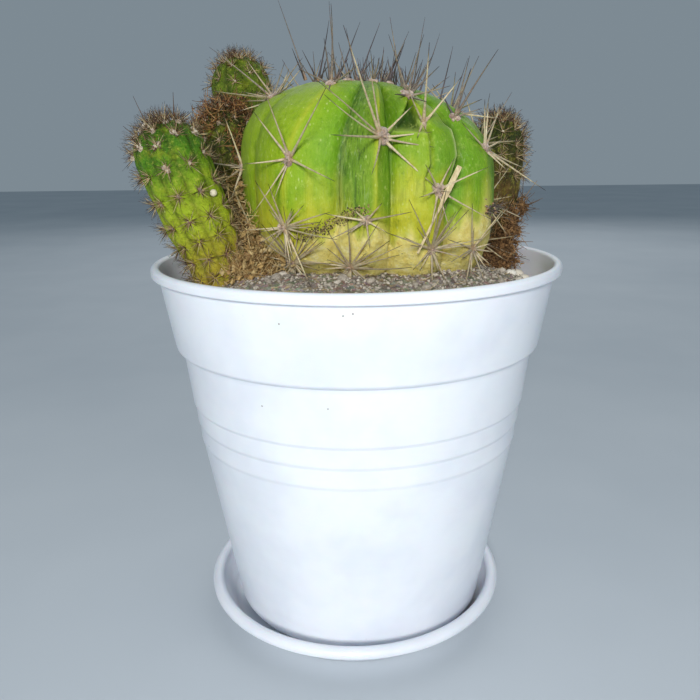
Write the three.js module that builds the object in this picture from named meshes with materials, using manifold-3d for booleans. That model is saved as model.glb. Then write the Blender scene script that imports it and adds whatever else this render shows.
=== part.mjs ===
// A potted group of cacti: a round ribbed globe with star-shaped spines and four finely spined
// columns round it, in a white plastic pot that stands on its saucer.
// Millimetres, +Z up. The table is z = 0, the pot's axis is the Z axis, and the front faces -Y.
import * as THREE from 'three';
import { mergeVertices } from 'three/addons/utils/BufferGeometryUtils.js';
import Module from 'manifold-3d';

const wasm = await Module();
wasm.setup();

// ---------------------------------------------------------------- driving dimensions

const GAP = 0.3; // clearance between pieces that touch
const SLACK = 0.2; // extra room where the facets of two round pieces do not line up
const ROUND_SIDES = 36; // sides of the pot, the saucer, the soil and the hollow under the globe

// The saucer stands a little off the pot's axis.
const SAUCER = {
  x: -1.36,
  y: -1.07,
  floor: 1.4,
  height: 10,
  lipRadius: 45.6,
  beadRadius: 1.8,
  outside: [[36, 0], [38.2, 1], [41, 4.6], [42.7, 7.4]], // [radius, height] up to the lip's bead
  inside: [[41.1, 6.2], [39.5, 3.2], [37.6, 1.4]], // and down again to the floor
};

// The pot, from the ring that it stands on up to its lip. At each ring its wall steps out a little.
const POT = {
  wall: 1.2,
  footRadius: 34.5,
  footWidth: 3,
  footHeight: 1.5,
  floorThickness: 1.4,
  cornerRadius: 38.4,
  cornerHeight: 5.4,
  cornerRound: { radius: 0.9, height: 1.7 },
  ringHeight: 0.6,
  rings: [
    { height: 57.0, below: 46.9, above: 47.3 },
    { height: 62.7, below: 47.5, above: 48.0 },
    { height: 68.5, below: 48.3, above: 48.9 },
  ],
  collarFoot: 84.5,
  underCollarRadius: 50.5,
  collarFootRadius: 52.4,
  collarTopRadius: 55.6,
  lipFoot: 105.2,
  lipRadius: 57.6,
  lipRound: 1.2,
  height: 108,
  drainHoles: 4,
  drainRadius: 1.9,
  drainCircle: 22,
};

// The soil is heaped up round the plants and lower at the wall.
const SOIL = { edge: 99.8, crown: 106, heapRadius: 28, edgeRadius: 55, grit: 0.35 };
const SOIL_RINGS = [1, 0.93, 0.85, 0.76, 0.66, 0.5, 0]; // rings of its surface, as shares of its rim
const PEBBLES = { seed: 23, count: 9, smallest: 1.1, largest: 2.3, inner: 34, outer: 50, apart: 1 };
// Pale stones beside the right-hand column: [x, y, radius].
const PALE_STONES = [
  [48.6, 8.5, 2.2],
  [46.2, 5.2, 1.7],
  [50.2, 4.6, 1.5],
];

// Angles on the plants are in degrees from the front (-Y) towards the right (+X).
// Each rib of the globe has the angle of its ridge, that of the groove after it, how far both
// lean towards the base, and its areoles as polar angles from the crown.
const GLOBE = {
  x: 3.2,
  y: 3,
  lean: { foot: 103, height: 53, reach: 2.1 }, // the foot stands this far to the right of the top
  equator: 129.5,
  halfWidth: 36.2,
  halfDepth: 34,
  lowerHeight: 29.5,
  upperHeight: 26,
  shoulder: { left: 1.7, right: -4.2, bend: 1.2 }, // the left shoulder is high, the right one low
  // Exponents of the rounded-square form: 2 is an ellipse, and more is fuller.
  upperFullness: { middle: 2.7, left: 0.5, right: -0.3 },
  lowerFullness: { middle: 2.96, right: 0.75 },
  crownDip: { depth: 3, reach: 0.4 },
  grooveDepth: 4.2,
  grooveShape: { first: 0.12, second: 0.38, fourth: 0.5 }, // shares of the depth by power
  ribStops: [-1, -0.72, -0.36, 0, 0.36, 0.72], // points across a rib, from its groove
  rings: 15,
  ribs: [
    { ridge: -86, groove: -63, lean: 0, areoles: [40, 87, 113] },
    { ridge: -37.5, groove: -15.5, lean: -12, areoles: [28, 84, 108, 134] },
    { ridge: 2, groove: 9, lean: -4, areoles: [72, 100, 129] },
    { ridge: 26, groove: 40, lean: 0, areoles: [36, 62, 90, 113] },
    { ridge: 58, groove: 79, lean: 0, areoles: [53, 74, 113] },
    { ridge: 100, groove: 121, lean: 3, areoles: [40, 68, 94, 116] },
    { ridge: 143, groove: 164, lean: 3, areoles: [34, 62, 90, 115] },
    { ridge: 186, groove: 208, lean: 2, areoles: [38, 66, 92, 116] },
    { ridge: 230, groove: 252, lean: 0, areoles: [35, 63, 90, 114] },
  ],
};

// Spines of the ribs that face the front, areole by areole in the order above, each as
// [clock angle in degrees seen from the front, length].
const FRONT_SPINES = [
  [
    [[-42, 33], [12, 12], [42, 12], [247, 14]],
    [[-18, 12], [-67, 22], [257, 11], [199, 11]],
    [[-20, 9], [-44, 8], [220, 7]],
  ],
  [
    [[-1, 27], [-20, 25], [-72, 8], [28, 9]],
    [[-21, 14], [46, 13], [129, 15], [216, 17], [202, 11], [266, 11]],
    [[-18, 8], [58, 7], [116, 15], [156, 17], [224, 10]],
    [[259, 13], [225, 9], [117, 8], [-53, 10], [-37, 8], [71, 9]],
  ],
  [
    [[-31, 16], [-73, 15], [43, 11], [82, 12], [99, 12], [130, 17], [191, 13], [243, 12]],
    [[-82, 10], [235, 6], [126, 6], [90, 10], [50, 5]],
    [[232, 9], [180, 7], [135, 9], [101, 14], [70, 11], [-83, 13]],
  ],
  [
    [[-17, 7], [0, 17], [42, 12], [85, 9]],
    [[-3, 11], [43, 12], [-45, 7]],
    [[27, 7], [66, 13], [116, 15], [193, 14], [164, 10], [237, 6]],
    [[-86, 12], [209, 6], [177, 9], [104, 9], [45, 10], [-50, 6]],
  ],
  [
    [[32, 22], [14, 17], [71, 7]],
    [[21, 14], [3, 11], [54, 7], [104, 13], [117, 19], [-74, 8]],
    [[98, 6], [142, 7], [45, 7], [36, 11], [225, 5]],
  ],
];
// The other areoles of the globe have a star of spines, and the crown a tuft of upright ones.
const SPINE = { seed: 7, radius: 0.42, root: 1.1, ring: 1.1, lift: 0.45, least: 0.2 };
const STAR = { spines: 5, jitter: 20, shortest: 9, longest: 16 };
const CROWN = { polar: 15, perRib: 2, shortest: 14, longest: 22, spread: 0.5, outwards: 0.4 };

// Columns: the line of the middle from the root to the shoulder, the radius at each point of it,
// the height of the dome on top, and the fine spines on the ribs.
const COLUMNS = [
  {
    name: 'stem_front_left',
    seed: 465,
    line: [[-35.4, -11.8, 94], [-37.9, -12.2, 108.6], [-42.4, -13, 121], [-48.4, -14, 138]],
    radii: [6.8, 8, 9.5, 9.8],
    dome: 9,
    ribs: 10,
    relief: 1.1,
    areoleStep: 8,
    spine: 4.2,
    colour: 0x7a9a2a,
  },
  {
    name: 'stem_left',
    seed: 279,
    line: [[-31, 14.5, 94], [-34, 15, 108], [-39, 17, 130], [-39.3, 17, 143.5]],
    radii: [6.5, 7.6, 8, 8],
    dome: 8,
    ribs: 10,
    relief: 1.1,
    areoleStep: 8.4,
    spine: 4,
    colour: 0x4a6428,
  },
  {
    name: 'stem_back_left',
    seed: 434,
    line: [[-24, 31, 94], [-26.5, 33, 108], [-31.4, 35.5, 130], [-33.6, 34.5, 145], [-36, 32, 157.5]],
    radii: [7.5, 8.8, 9.2, 9.2, 9.2],
    dome: 9,
    ribs: 10,
    relief: 1.1,
    areoleStep: 8.4,
    spine: 4,
    colour: 0x74843a,
  },
  {
    name: 'stem_right',
    seed: 310,
    line: [[39.5, 19.5, 94], [40.5, 20.5, 106], [43.8, 22.8, 130], [44.3, 24, 139.8]],
    radii: [6.5, 7.3, 7.9, 7.6],
    dome: 7,
    ribs: 10,
    relief: 1.1,
    areoleStep: 8.4,
    spine: 4.6,
    colour: 0x5a5a2c,
  },
  {
    name: 'withered_offset',
    line: [[-25, -11.5, 96], [-25.5, -12, 103], [-26, -12.4, 107.5]],
    radii: [2.8, 3.8, 3.3],
    dome: 2.6,
    ribs: 6,
    relief: 0.7,
    areoleStep: 0,
    spine: 0,
    colour: 0x9a7443,
  },
];
const COLUMN_RINGS = 8; // rings on the shaft of a column
const DOME_RINGS = 4; // rings on its dome
const FINE_SPINE = {
  radius: 0.3,
  root: 0.9,
  ring: 0,
  lean: 0.55,
  crownLean: 1.2,
  shortest: 0.8, // as shares of the column's own spine length
  longest: 1.3,
  lowestShare: 0.3,
  stagger: [0.25, 0.75], // place of the first areole below the shoulder on even and odd ribs
  domeAngles: [62, 35],
};
// Room that a spine keeps from the plants, the spines and the pot that it does not grow from.
const CLEAR = { plant: 0.8, spine: 1.2, soil: 1, rim: 1, wall: 3 };

// The dry blade that leans on the front of the globe, by its two ends on the skin.
const DRY_BLADE = {
  top: { angle: 37.5, polar: 88 },
  foot: { angle: 20, polar: 116 },
  outward: [0.45, -1, 0],
  width: 1.6,
  thickness: 0.7,
};

const FINISHES = {
  saucer: { colour: 0xf1f3f6, roughness: 0.35 },
  pot: { colour: 0xf4f6f9, roughness: 0.35 },
  soil: { colour: 0x8b8378, roughness: 0.95 },
  globe_cactus: { colour: 0x7fb51e, roughness: 0.5 },
  dry_blade: { colour: 0xcdb892, roughness: 0.8 },
};
const COLUMN_ROUGHNESS = 0.7;

// ---------------------------------------------------------------- helpers

const DEG = Math.PI / 180;

/** A repeatable stream of numbers from 0 to 1. */
function randomStream(seed) {
  let state = seed;
  return () => {
    state = (state + 0x6d2b79f5) | 0;
    let t = Math.imul(state ^ (state >>> 15), 1 | state);
    t = (t + Math.imul(t ^ (t >>> 7), 61 | t)) ^ t;
    return ((t ^ (t >>> 14)) >>> 0) / 4294967296;
  };
}

function smoothstep(low, high, value) {
  const t = Math.min(1, Math.max(0, (value - low) / (high - low)));
  return t * t * (3 - 2 * t);
}

/** Turn a closed three.js geometry into a solid that can be joined and cut. */
function toSolid(geometry) {
  const bare = geometry.clone();
  bare.deleteAttribute('normal');
  bare.deleteAttribute('uv');
  const merged = mergeVertices(bare, 1e-4);
  const points = merged.attributes.position.array;
  const index = merged.index.array;
  const triangles = [];
  for (let i = 0; i < index.length; i += 3) {
    const [a, b, c] = [index[i], index[i + 1], index[i + 2]];
    if (a !== b && b !== c && c !== a) triangles.push(a, b, c);
  }
  const build = (order) => {
    const triVerts = new Uint32Array(order);
    return new wasm.Manifold(new wasm.Mesh({ numProp: 3, vertProperties: points, triVerts }));
  };
  const solid = build(triangles);
  return solid.volume() > 0 ? solid : build(triangles.reverse());
}

/** Turn a solid back into a three.js geometry. */
function toGeometry(solid) {
  const { vertProperties, triVerts, numProp } = solid.getMesh();
  const points = new Float32Array((vertProperties.length / numProp) * 3);
  for (let i = 0; i < points.length / 3; i += 1) {
    for (let k = 0; k < 3; k += 1) points[3 * i + k] = vertProperties[numProp * i + k];
  }
  const geometry = new THREE.BufferGeometry();
  geometry.setAttribute('position', new THREE.BufferAttribute(points, 3));
  geometry.setIndex(new THREE.BufferAttribute(new Uint32Array(triVerts), 1));
  geometry.computeVertexNormals();
  return geometry;
}

/** The largest of a solid's pieces, without the scraps that cutting can leave. */
function largestPiece(solid) {
  return solid.decompose().reduce((best, piece) => (piece.volume() > best.volume() ? piece : best));
}

/** Join a body and its repeats into one piece. */
function fuse(body, repeats) {
  return largestPiece(wasm.Manifold.union([body, ...repeats]));
}

/** Turn a closed profile of [radius, height] round the Z axis. */
function turned(profile) {
  const points = profile.map(([radius, height]) => new THREE.Vector2(radius, height));
  return new THREE.LatheGeometry(points, ROUND_SIDES).rotateX(Math.PI / 2);
}

/** Points of a profile on an arc round [radius, height], between two angles in degrees. */
function arc([middle, level], radius, from, to, steps) {
  return Array.from({ length: steps + 1 }, (_, k) => {
    const angle = (from + ((to - from) * k) / steps) * DEG;
    return [middle + radius * Math.cos(angle), level + radius * Math.sin(angle)];
  });
}

// ---------------------------------------------------------------- pot and saucer

function saucerGeometry() {
  const { floor, height, lipRadius, beadRadius, outside, inside } = SAUCER;
  const bead = arc([lipRadius - beadRadius, height - beadRadius], beadRadius, -15, 180, 5);
  const profile = [[0, 0], ...outside, ...bead, ...inside, [0, floor], [0, 0]];
  return turned(profile).translate(SAUCER.x, SAUCER.y, 0);
}

/** Outer radius of the pot at a height above its corner. */
function potRadius(height) {
  const { ringHeight, collarFoot } = POT;
  const corners = [[POT.cornerHeight, POT.cornerRadius]];
  for (const ring of POT.rings) {
    corners.push([ring.height, ring.below]);
    corners.push([ring.height + ringHeight, ring.above]);
  }
  corners.push([collarFoot - ringHeight, POT.underCollarRadius]);
  corners.push([collarFoot + ringHeight, POT.collarFootRadius]);
  corners.push([POT.lipFoot, POT.collarTopRadius]);
  for (let i = 1; i < corners.length; i += 1) {
    const [lowHeight, lowRadius] = corners[i - 1];
    const [highHeight, highRadius] = corners[i];
    if (height <= highHeight) {
      const t = Math.max(0, (height - lowHeight) / (highHeight - lowHeight));
      return lowRadius + t * (highRadius - lowRadius);
    }
  }
  return POT.collarTopRadius;
}

const POT_SEAT = SAUCER.floor + GAP;
const POT_FLOOR = POT_SEAT + POT.footHeight + POT.floorThickness;

/** The drain holes, as cylinders that go right through the floor. */
function drainHoles() {
  const { drainHoles: count, drainRadius, drainCircle } = POT;
  return Array.from({ length: count }, (_, k) => {
    const angle = ((k + 0.5) * 2 * Math.PI) / count;
    const hole = new THREE.CylinderGeometry(drainRadius, drainRadius, 3 * POT_FLOOR, 10);
    hole.rotateX(Math.PI / 2);
    return hole.translate(drainCircle * Math.cos(angle), drainCircle * Math.sin(angle), POT_FLOOR);
  });
}

function potGeometry() {
  const { wall, footRadius, footWidth, footHeight, cornerRadius, cornerHeight, cornerRound } = POT;
  const { rings, ringHeight, collarFoot, collarFootRadius, lipFoot, lipRadius, lipRound, height } = POT;
  const outer = [
    [footRadius, POT_SEAT],
    [cornerRadius - cornerRound.radius, POT_SEAT + cornerRound.height],
    [cornerRadius, cornerHeight],
  ];
  for (const ring of rings) {
    outer.push([ring.below, ring.height]);
    outer.push([ring.above, ring.height + ringHeight]);
  }
  const collar = [
    [POT.underCollarRadius, collarFoot - ringHeight],
    [collarFootRadius - 0.4, collarFoot],
    [collarFootRadius, collarFoot + 1],
    [POT.collarTopRadius, lipFoot],
    [lipRadius - 0.3, lipFoot + 0.5],
  ];
  const lip = arc([lipRadius - lipRound, height - lipRound], lipRound, 0, 180, 4);
  const collarInside = [lipFoot, collarFoot + 2 * wall, collarFoot - ringHeight];
  const levels = [...collarInside, rings[2].height, rings[0].height];
  const inner = levels.map((level) => [potRadius(level) - wall, level]);
  const floor = [
    [cornerRadius - wall, POT_FLOOR + 1],
    [cornerRadius - wall - 1, POT_FLOOR],
    [0, POT_FLOOR],
    [0, POT_SEAT + footHeight],
    [footRadius - footWidth - 0.6, POT_SEAT + footHeight],
    [footRadius - footWidth, POT_SEAT],
    [footRadius, POT_SEAT],
  ];
  const body = toSolid(turned([...outer, ...collar, ...lip, ...inner, ...floor]));
  return toGeometry(body.subtract(wasm.Manifold.union(drainHoles().map(toSolid))));
}

// ---------------------------------------------------------------- the globe

/** Angle of a place on a rib: `across` is -1 in the groove before it, 0 on the ridge, 1 after it. */
function ribAngle(index, across, polar) {
  const { ribs } = GLOBE;
  const rib = ribs[index];
  const before = ribs[(index + ribs.length - 1) % ribs.length];
  const neighbour = across < 0 ? before : ribs[(index + 1) % ribs.length];
  const previousGroove = index === 0 ? before.groove - 360 : before.groove;
  const half = across < 0 ? rib.ridge - previousGroove : rib.groove - rib.ridge;
  const lean = rib.lean + (Math.abs(across) / 2) * (neighbour.lean - rib.lean);
  return rib.ridge + across * half + (lean * (polar - 85)) / 45;
}

/** The globe's middle line at a height, as its distance to the right of the pot's axis. */
function globeMiddle(height) {
  const { x, lean } = GLOBE;
  return x + lean.reach * (1 - (height - lean.foot) / lean.height);
}

/** A point of the globe's skin, `sunk` below the smooth form and `grown` outwards. */
function globePoint(angle, polar, sunk = 0, grown = 0) {
  const { shoulder, upperFullness, lowerFullness, crownDip } = GLOBE;
  const side = Math.sin(angle * DEG);
  const right = Math.max(0, side);
  const left = Math.max(0, -side);
  const sine = Math.sin(polar * DEG);
  const cosine = Math.cos(polar * DEG);
  const above = cosine >= 0;
  const rest = shoulder.left * left + shoulder.right * right ** shoulder.bend;
  const half = above ? GLOBE.upperHeight + sine * rest : -GLOBE.lowerHeight;
  const fullness = above
    ? upperFullness.middle + upperFullness.left * left + upperFullness.right * right
    : lowerFullness.middle + lowerFullness.right * side;
  const reach = sine ** (2 / fullness);
  const rise = Math.abs(cosine) ** (2 / fullness);
  const dip = above ? crownDip.depth * (1 - smoothstep(0, crownDip.reach, reach)) : 0;
  const full = 1 / Math.hypot(side / GLOBE.halfWidth, Math.cos(angle * DEG) / GLOBE.halfDepth);
  const radius = Math.max(0, reach * (full + grown) - sunk * Math.min(1, 1.6 * sine));
  const z = GLOBE.equator + (half + Math.sign(half) * grown) * rise - dip;
  return new THREE.Vector3(
    globeMiddle(z) + radius * side,
    GLOBE.y - radius * Math.cos(angle * DEG),
    z,
  );
}

/** Depth of the skin below the smooth form between a ridge (0) and a groove (1). */
function grooveProfile(across) {
  const { first, second, fourth } = GLOBE.grooveShape;
  return GLOBE.grooveDepth * (first * across + second * across ** 2 + fourth * across ** 4);
}

function globeGeometry() {
  const stops = GLOBE.ribStops;
  const sides = stops.length * GLOBE.ribs.length;
  const geometry = new THREE.SphereGeometry(1, sides, GLOBE.rings);
  const { position, uv } = geometry.attributes;
  for (let i = 0; i < position.count; i += 1) {
    const segment = (Math.floor(uv.getX(i) * sides + 0.25) + sides) % sides;
    const across = stops[segment % stops.length];
    const polar = 180 * (1 - uv.getY(i));
    const angle = ribAngle(Math.floor(segment / stops.length), across, polar);
    const point = globePoint(angle, polar, grooveProfile(Math.abs(across)));
    position.setXYZ(i, point.x, point.y, point.z);
  }
  return geometry;
}

/** How far a point lies outside the globe's smooth form; negative inside it. */
function globeClearance(point) {
  const up = point.z - GLOBE.equator;
  if (up > GLOBE.upperHeight + GLOBE.shoulder.left) return up - GLOBE.upperHeight;
  const dx = point.x - globeMiddle(point.z);
  const dy = GLOBE.y - point.y;
  const angle = Math.atan2(dx, dy) / DEG;
  let polar = up > 0 ? 45 : 135;
  for (let step = 22.5; step > 0.05; step /= 2) {
    polar += globePoint(angle, polar).z > point.z ? step : -step;
  }
  const skin = globePoint(angle, polar);
  return Math.hypot(dx, dy) - Math.hypot(skin.x - globeMiddle(skin.z), GLOBE.y - skin.y);
}

// ---------------------------------------------------------------- the columns

/** The middle line of a column with its radius at any share of its length. */
function columnForm(column) {
  const curve = new THREE.CatmullRomCurve3(column.line.map((p) => new THREE.Vector3(...p)));
  const last = column.radii.length - 1;
  const at = (share) => {
    const place = share * last;
    const k = Math.min(last - 1, Math.floor(place));
    const radius = column.radii[k] + (place - k) * (column.radii[k + 1] - column.radii[k]);
    const centre = curve.getPoint(share);
    const up = curve.getTangent(share).normalize();
    const right = new THREE.Vector3(1, 0, 0).addScaledVector(up, -up.x).normalize();
    const front = new THREE.Vector3().crossVectors(right, up).normalize();
    return { centre, up, right, front, radius };
  };
  return { at, length: curve.getLength() };
}

/** A point on a column: `share` of the shaft, or past 1 the angle of the dome in degrees. */
function columnPoint(column, form, share, domeAngle, angle, sunk = 0, grown = 0) {
  const { centre, up, right, front, radius } = form.at(share);
  const reach = (radius + grown - sunk) * Math.cos(domeAngle * DEG);
  return centre.clone()
    .addScaledVector(up, (column.dome + grown) * Math.sin(domeAngle * DEG))
    .addScaledVector(right, reach * Math.sin(angle * DEG))
    .addScaledVector(front, reach * Math.cos(angle * DEG));
}

function columnGeometry(column) {
  const form = columnForm(column);
  const rings = COLUMN_RINGS + DOME_RINGS + 1;
  const sides = 2 * column.ribs;
  const geometry = new THREE.SphereGeometry(1, sides, rings);
  const { position, uv } = geometry.attributes;
  for (let i = 0; i < position.count; i += 1) {
    const segment = Math.round(uv.getX(i) * sides) % sides;
    const ring = Math.round((1 - uv.getY(i)) * rings);
    const onDome = ring < DOME_RINGS;
    const domeAngle = onDome ? 90 * (1 - ring / DOME_RINGS) : 0;
    const share = onDome ? 1 : Math.max(0, 1 - (ring - DOME_RINGS) / COLUMN_RINGS);
    const sunk = segment % 2 ? column.relief : 0;
    const point = columnPoint(column, form, share, domeAngle, (360 * segment) / sides, sunk);
    if (ring === rings) point.copy(form.at(0).centre);
    position.setXYZ(i, point.x, point.y, point.z);
  }
  return geometry;
}

// ---------------------------------------------------------------- soil

/** Height of the soil's surface. */
function soilHeight(x, y) {
  const { edge, crown, heapRadius, edgeRadius, grit } = SOIL;
  const heap = 1 - smoothstep(heapRadius, edgeRadius, Math.hypot(x, y));
  const ripple = Math.sin(0.9 * x + 1.7) * Math.sin(1.1 * y) + 0.6 * Math.sin(0.47 * (x - y) + 0.4);
  return edge + (crown - edge) * heap + grit * ripple;
}

function soilGeometry(stems) {
  const floor = POT_FLOOR + GAP;
  const { rings, cornerRadius, wall, collarFoot } = POT;
  const inside = (height) => potRadius(height) - wall - GAP - SLACK;
  const collarInside = [collarFoot - 2 * POT.ringHeight, collarFoot + 2 * wall];
  const levels = [rings[0].height, rings[2].height, ...collarInside];
  const side = levels.map((level) => [inside(level), level]);
  const surface = SOIL_RINGS.map((share) => [share * inside(SOIL.edge), SOIL.edge]);
  const foot = [[0, floor], [cornerRadius - wall - 2, floor]];
  const geometry = turned([...foot, ...side, ...surface, [0, floor]]);
  const { position } = geometry.attributes;
  for (let i = 0; i < position.count; i += 1) {
    const [x, y, z] = [position.getX(i), position.getY(i), position.getZ(i)];
    if (Math.abs(z - SOIL.edge) < 0.01) position.setZ(i, soilHeight(x, y));
  }
  const filled = fuse(toSolid(geometry), pebbles(stems));
  const holes = [globeHollow(), ...COLUMNS.map(stemHole)].map(toSolid);
  return toGeometry(largestPiece(filled.subtract(wasm.Manifold.union(holes))));
}

/** The smooth hollow in the soil that the globe sits in. */
function globeHollow() {
  const geometry = new THREE.SphereGeometry(1, ROUND_SIDES, 8);
  const { position, uv } = geometry.attributes;
  for (let i = 0; i < position.count; i += 1) {
    const polar = 180 - 90 * uv.getY(i);
    const point = globePoint(360 * uv.getX(i), polar, 0, GAP + SLACK);
    if (uv.getY(i) === 1) point.set(GLOBE.x, GLOBE.y, GLOBE.equator);
    position.setXYZ(i, point.x, point.y, point.z);
  }
  return geometry;
}

/** The plain round hole in the soil that a stem stands in, open above the surface. */
function stemHole(column) {
  const form = columnForm(column);
  const sides = 12;
  const rings = 5;
  const steps = Array.from({ length: 21 }, (_, k) => k / 20);
  const top = steps.find((share) => form.at(share).centre.z > SOIL.crown + 3) ?? 1;
  const geometry = new THREE.SphereGeometry(1, sides, rings);
  const { position, uv } = geometry.attributes;
  for (let i = 0; i < position.count; i += 1) {
    const ring = Math.round((1 - uv.getY(i)) * rings);
    const share = top * (1 - Math.min(1, Math.max(0, (ring - 1) / (rings - 2))));
    const { radius } = form.at(share);
    const room = GAP + (radius + GAP) * (1 / Math.cos(Math.PI / sides) - 1);
    const point = columnPoint(column, form, share, 0, 360 * uv.getX(i), 0, room);
    if (ring === 0 || ring === rings) point.copy(form.at(share).centre);
    if (ring >= rings - 1) point.z -= GAP;
    position.setXYZ(i, point.x, point.y, point.z);
  }
  return geometry;
}

/** Small stones half sunk in the surface, clear of the plants. */
function pebbles(stems) {
  const random = randomStream(PEBBLES.seed);
  const spots = PALE_STONES.map(([x, y, radius]) => ({ x, y, radius }));
  while (spots.length < PEBBLES.count + PALE_STONES.length) {
    const angle = 2 * Math.PI * random();
    const out = PEBBLES.inner + (PEBBLES.outer - PEBBLES.inner) * random();
    const radius = PEBBLES.smallest + (PEBBLES.largest - PEBBLES.smallest) * random() ** 2;
    const spot = { x: out * Math.cos(angle), y: out * Math.sin(angle), radius };
    const point = new THREE.Vector3(spot.x, spot.y, soilHeight(spot.x, spot.y));
    if (stems.every((stem) => stem.clearance(point) > radius + PEBBLES.apart)) spots.push(spot);
  }
  return spots.map(({ x, y, radius }) => {
    const stone = new THREE.IcosahedronGeometry(radius, 0);
    stone.scale(1, 0.85, 0.7);
    stone.rotateZ(2 * Math.PI * random());
    return toSolid(stone.translate(x, y, soilHeight(x, y) + 0.15 * radius));
  });
}

// ---------------------------------------------------------------- spines

/** Shortest distance between two straight stretches. */
function stretchDistance(a, b) {
  let best = Infinity;
  const pointA = new THREE.Vector3();
  const line = new THREE.Line3(b.from, b.to);
  const nearest = new THREE.Vector3();
  for (let k = 0; k <= 12; k += 1) {
    pointA.lerpVectors(a.from, a.to, k / 12);
    line.closestPointToPoint(pointA, true, nearest);
    best = Math.min(best, pointA.distanceTo(nearest));
  }
  return best;
}

/** Every spine that has been placed, with the plant that it grows from. */
const placedSpines = [];

/** True where a spine clears the soil, the pot, the other plants and their spines. */
function isClear(owner, spine, obstacles) {
  const point = new THREE.Vector3();
  for (let k = 2; k <= 12; k += 1) {
    point.lerpVectors(spine.from, spine.to, k / 12);
    const out = Math.hypot(point.x, point.y);
    if (point.z < soilHeight(point.x, point.y) + CLEAR.soil) return false;
    if (out > POT.collarTopRadius - CLEAR.wall && point.z < POT.height + CLEAR.rim) return false;
    for (const other of obstacles) {
      if (other.name !== owner.name && other.clearance(point) < CLEAR.plant) return false;
    }
  }
  for (const other of placedSpines) {
    if (other.owner !== owner.name && stretchDistance(spine, other) < CLEAR.spine) return false;
  }
  return true;
}

/**
 * Place one spine. Where it would cross another piece it is bent towards the straight way out
 * of the skin, or upwards, and after that it is shorter.
 */
function placeSpine(owner, middle, outward, wanted, length, ring, obstacles) {
  const up = new THREE.Vector3(0, 0, 1);
  for (const shorter of [1, 0.75, 0.5]) {
    for (const bend of [0, 0.3, 0.6, 0.9]) {
      for (const target of [outward, up]) {
        const direction = wanted.clone().lerp(target, bend).normalize();
        if (direction.dot(outward) < 0.2) direction.addScaledVector(outward, 0.35).normalize();
        const flat = direction.clone().addScaledVector(outward, -direction.dot(outward));
        const from = middle.clone().addScaledVector(flat, ring);
        const to = from.clone().addScaledVector(direction, length * shorter);
        const spine = { owner: owner.name, from, to, direction };
        if (isClear(owner, spine, obstacles)) {
          placedSpines.push(spine);
          return spine;
        }
      }
    }
  }
  return null;
}

/** A three-sided needle from below the skin to its tip. */
function needle(spine, radius, root) {
  const length = spine.from.distanceTo(spine.to) + root;
  const cone = new THREE.ConeGeometry(radius, length, 3);
  cone.translate(0, length / 2 - root, 0);
  const turn = new THREE.Quaternion().setFromUnitVectors(new THREE.Vector3(0, 1, 0), spine.direction);
  cone.applyQuaternion(turn);
  return toSolid(cone.translate(spine.from.x, spine.from.y, spine.from.z));
}

/** Skin point and outward direction of an areole on a ridge of the globe. */
function globeAreole(rib, polar) {
  const angle = rib.ridge + (rib.lean * (polar - 85)) / 45;
  const root = globePoint(angle, polar);
  const along = globePoint(angle, polar + 2).sub(globePoint(angle, polar - 2));
  const across = globePoint(angle + 2, polar).sub(globePoint(angle - 2, polar));
  const outward = along.cross(across).normalize();
  const middle = new THREE.Vector3(GLOBE.x, GLOBE.y, GLOBE.equator);
  if (outward.dot(root.clone().sub(middle)) < 0) outward.negate();
  return { root, outward };
}

/** Directions and lengths of a star of spines round an areole, lying near the skin. */
function starSpines({ outward }, random) {
  const side = new THREE.Vector3(0, 0, 1).cross(outward).normalize();
  const top = outward.clone().cross(side);
  const turn = 360 * random();
  return Array.from({ length: STAR.spines }, (_, k) => {
    const clock = (turn + (360 * k) / STAR.spines + STAR.jitter * random()) * DEG;
    const wanted = side.clone().multiplyScalar(Math.sin(clock)).addScaledVector(top, Math.cos(clock));
    const length = STAR.shortest + (STAR.longest - STAR.shortest) * random();
    const lift = SPINE.least + 2 * SPINE.lift * random();
    return { wanted: wanted.addScaledVector(outward, lift).normalize(), length };
  });
}

/** Directions and lengths of the upright spines of a rib at the crown. */
function crownSpines({ outward }, random) {
  const spread = () => CROWN.spread * (2 * random() - 1);
  return Array.from({ length: CROWN.perRib }, () => {
    const wanted = new THREE.Vector3(spread(), spread(), 1).addScaledVector(outward, CROWN.outwards);
    const length = CROWN.shortest + (CROWN.longest - CROWN.shortest) * random();
    return { wanted: wanted.normalize(), length };
  });
}

/** Directions and lengths of the spines that are seen from the front. */
function seenSpines({ outward }, seen) {
  return seen.map(([clock, length]) => {
    const wanted = new THREE.Vector3(Math.sin(clock * DEG), 0, Math.cos(clock * DEG));
    return { wanted: wanted.addScaledVector(outward, SPINE.lift).normalize(), length };
  });
}

function globeSpines(owner, obstacles) {
  const random = randomStream(SPINE.seed);
  const needles = [];
  const addAll = ({ root, outward }, spines) => {
    for (const { wanted, length } of spines) {
      const spine = placeSpine(owner, root, outward, wanted, length, SPINE.ring, obstacles);
      if (spine) needles.push(needle(spine, SPINE.radius, SPINE.root));
    }
  };
  GLOBE.ribs.forEach((rib, r) => {
    rib.areoles.forEach((polar, a) => {
      const areole = globeAreole(rib, polar);
      const seen = FRONT_SPINES[r]?.[a];
      addAll(areole, seen ? seenSpines(areole, seen) : starSpines(areole, random));
    });
    const crown = globeAreole(rib, CROWN.polar);
    addAll(crown, crownSpines(crown, random));
  });
  return needles;
}

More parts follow.
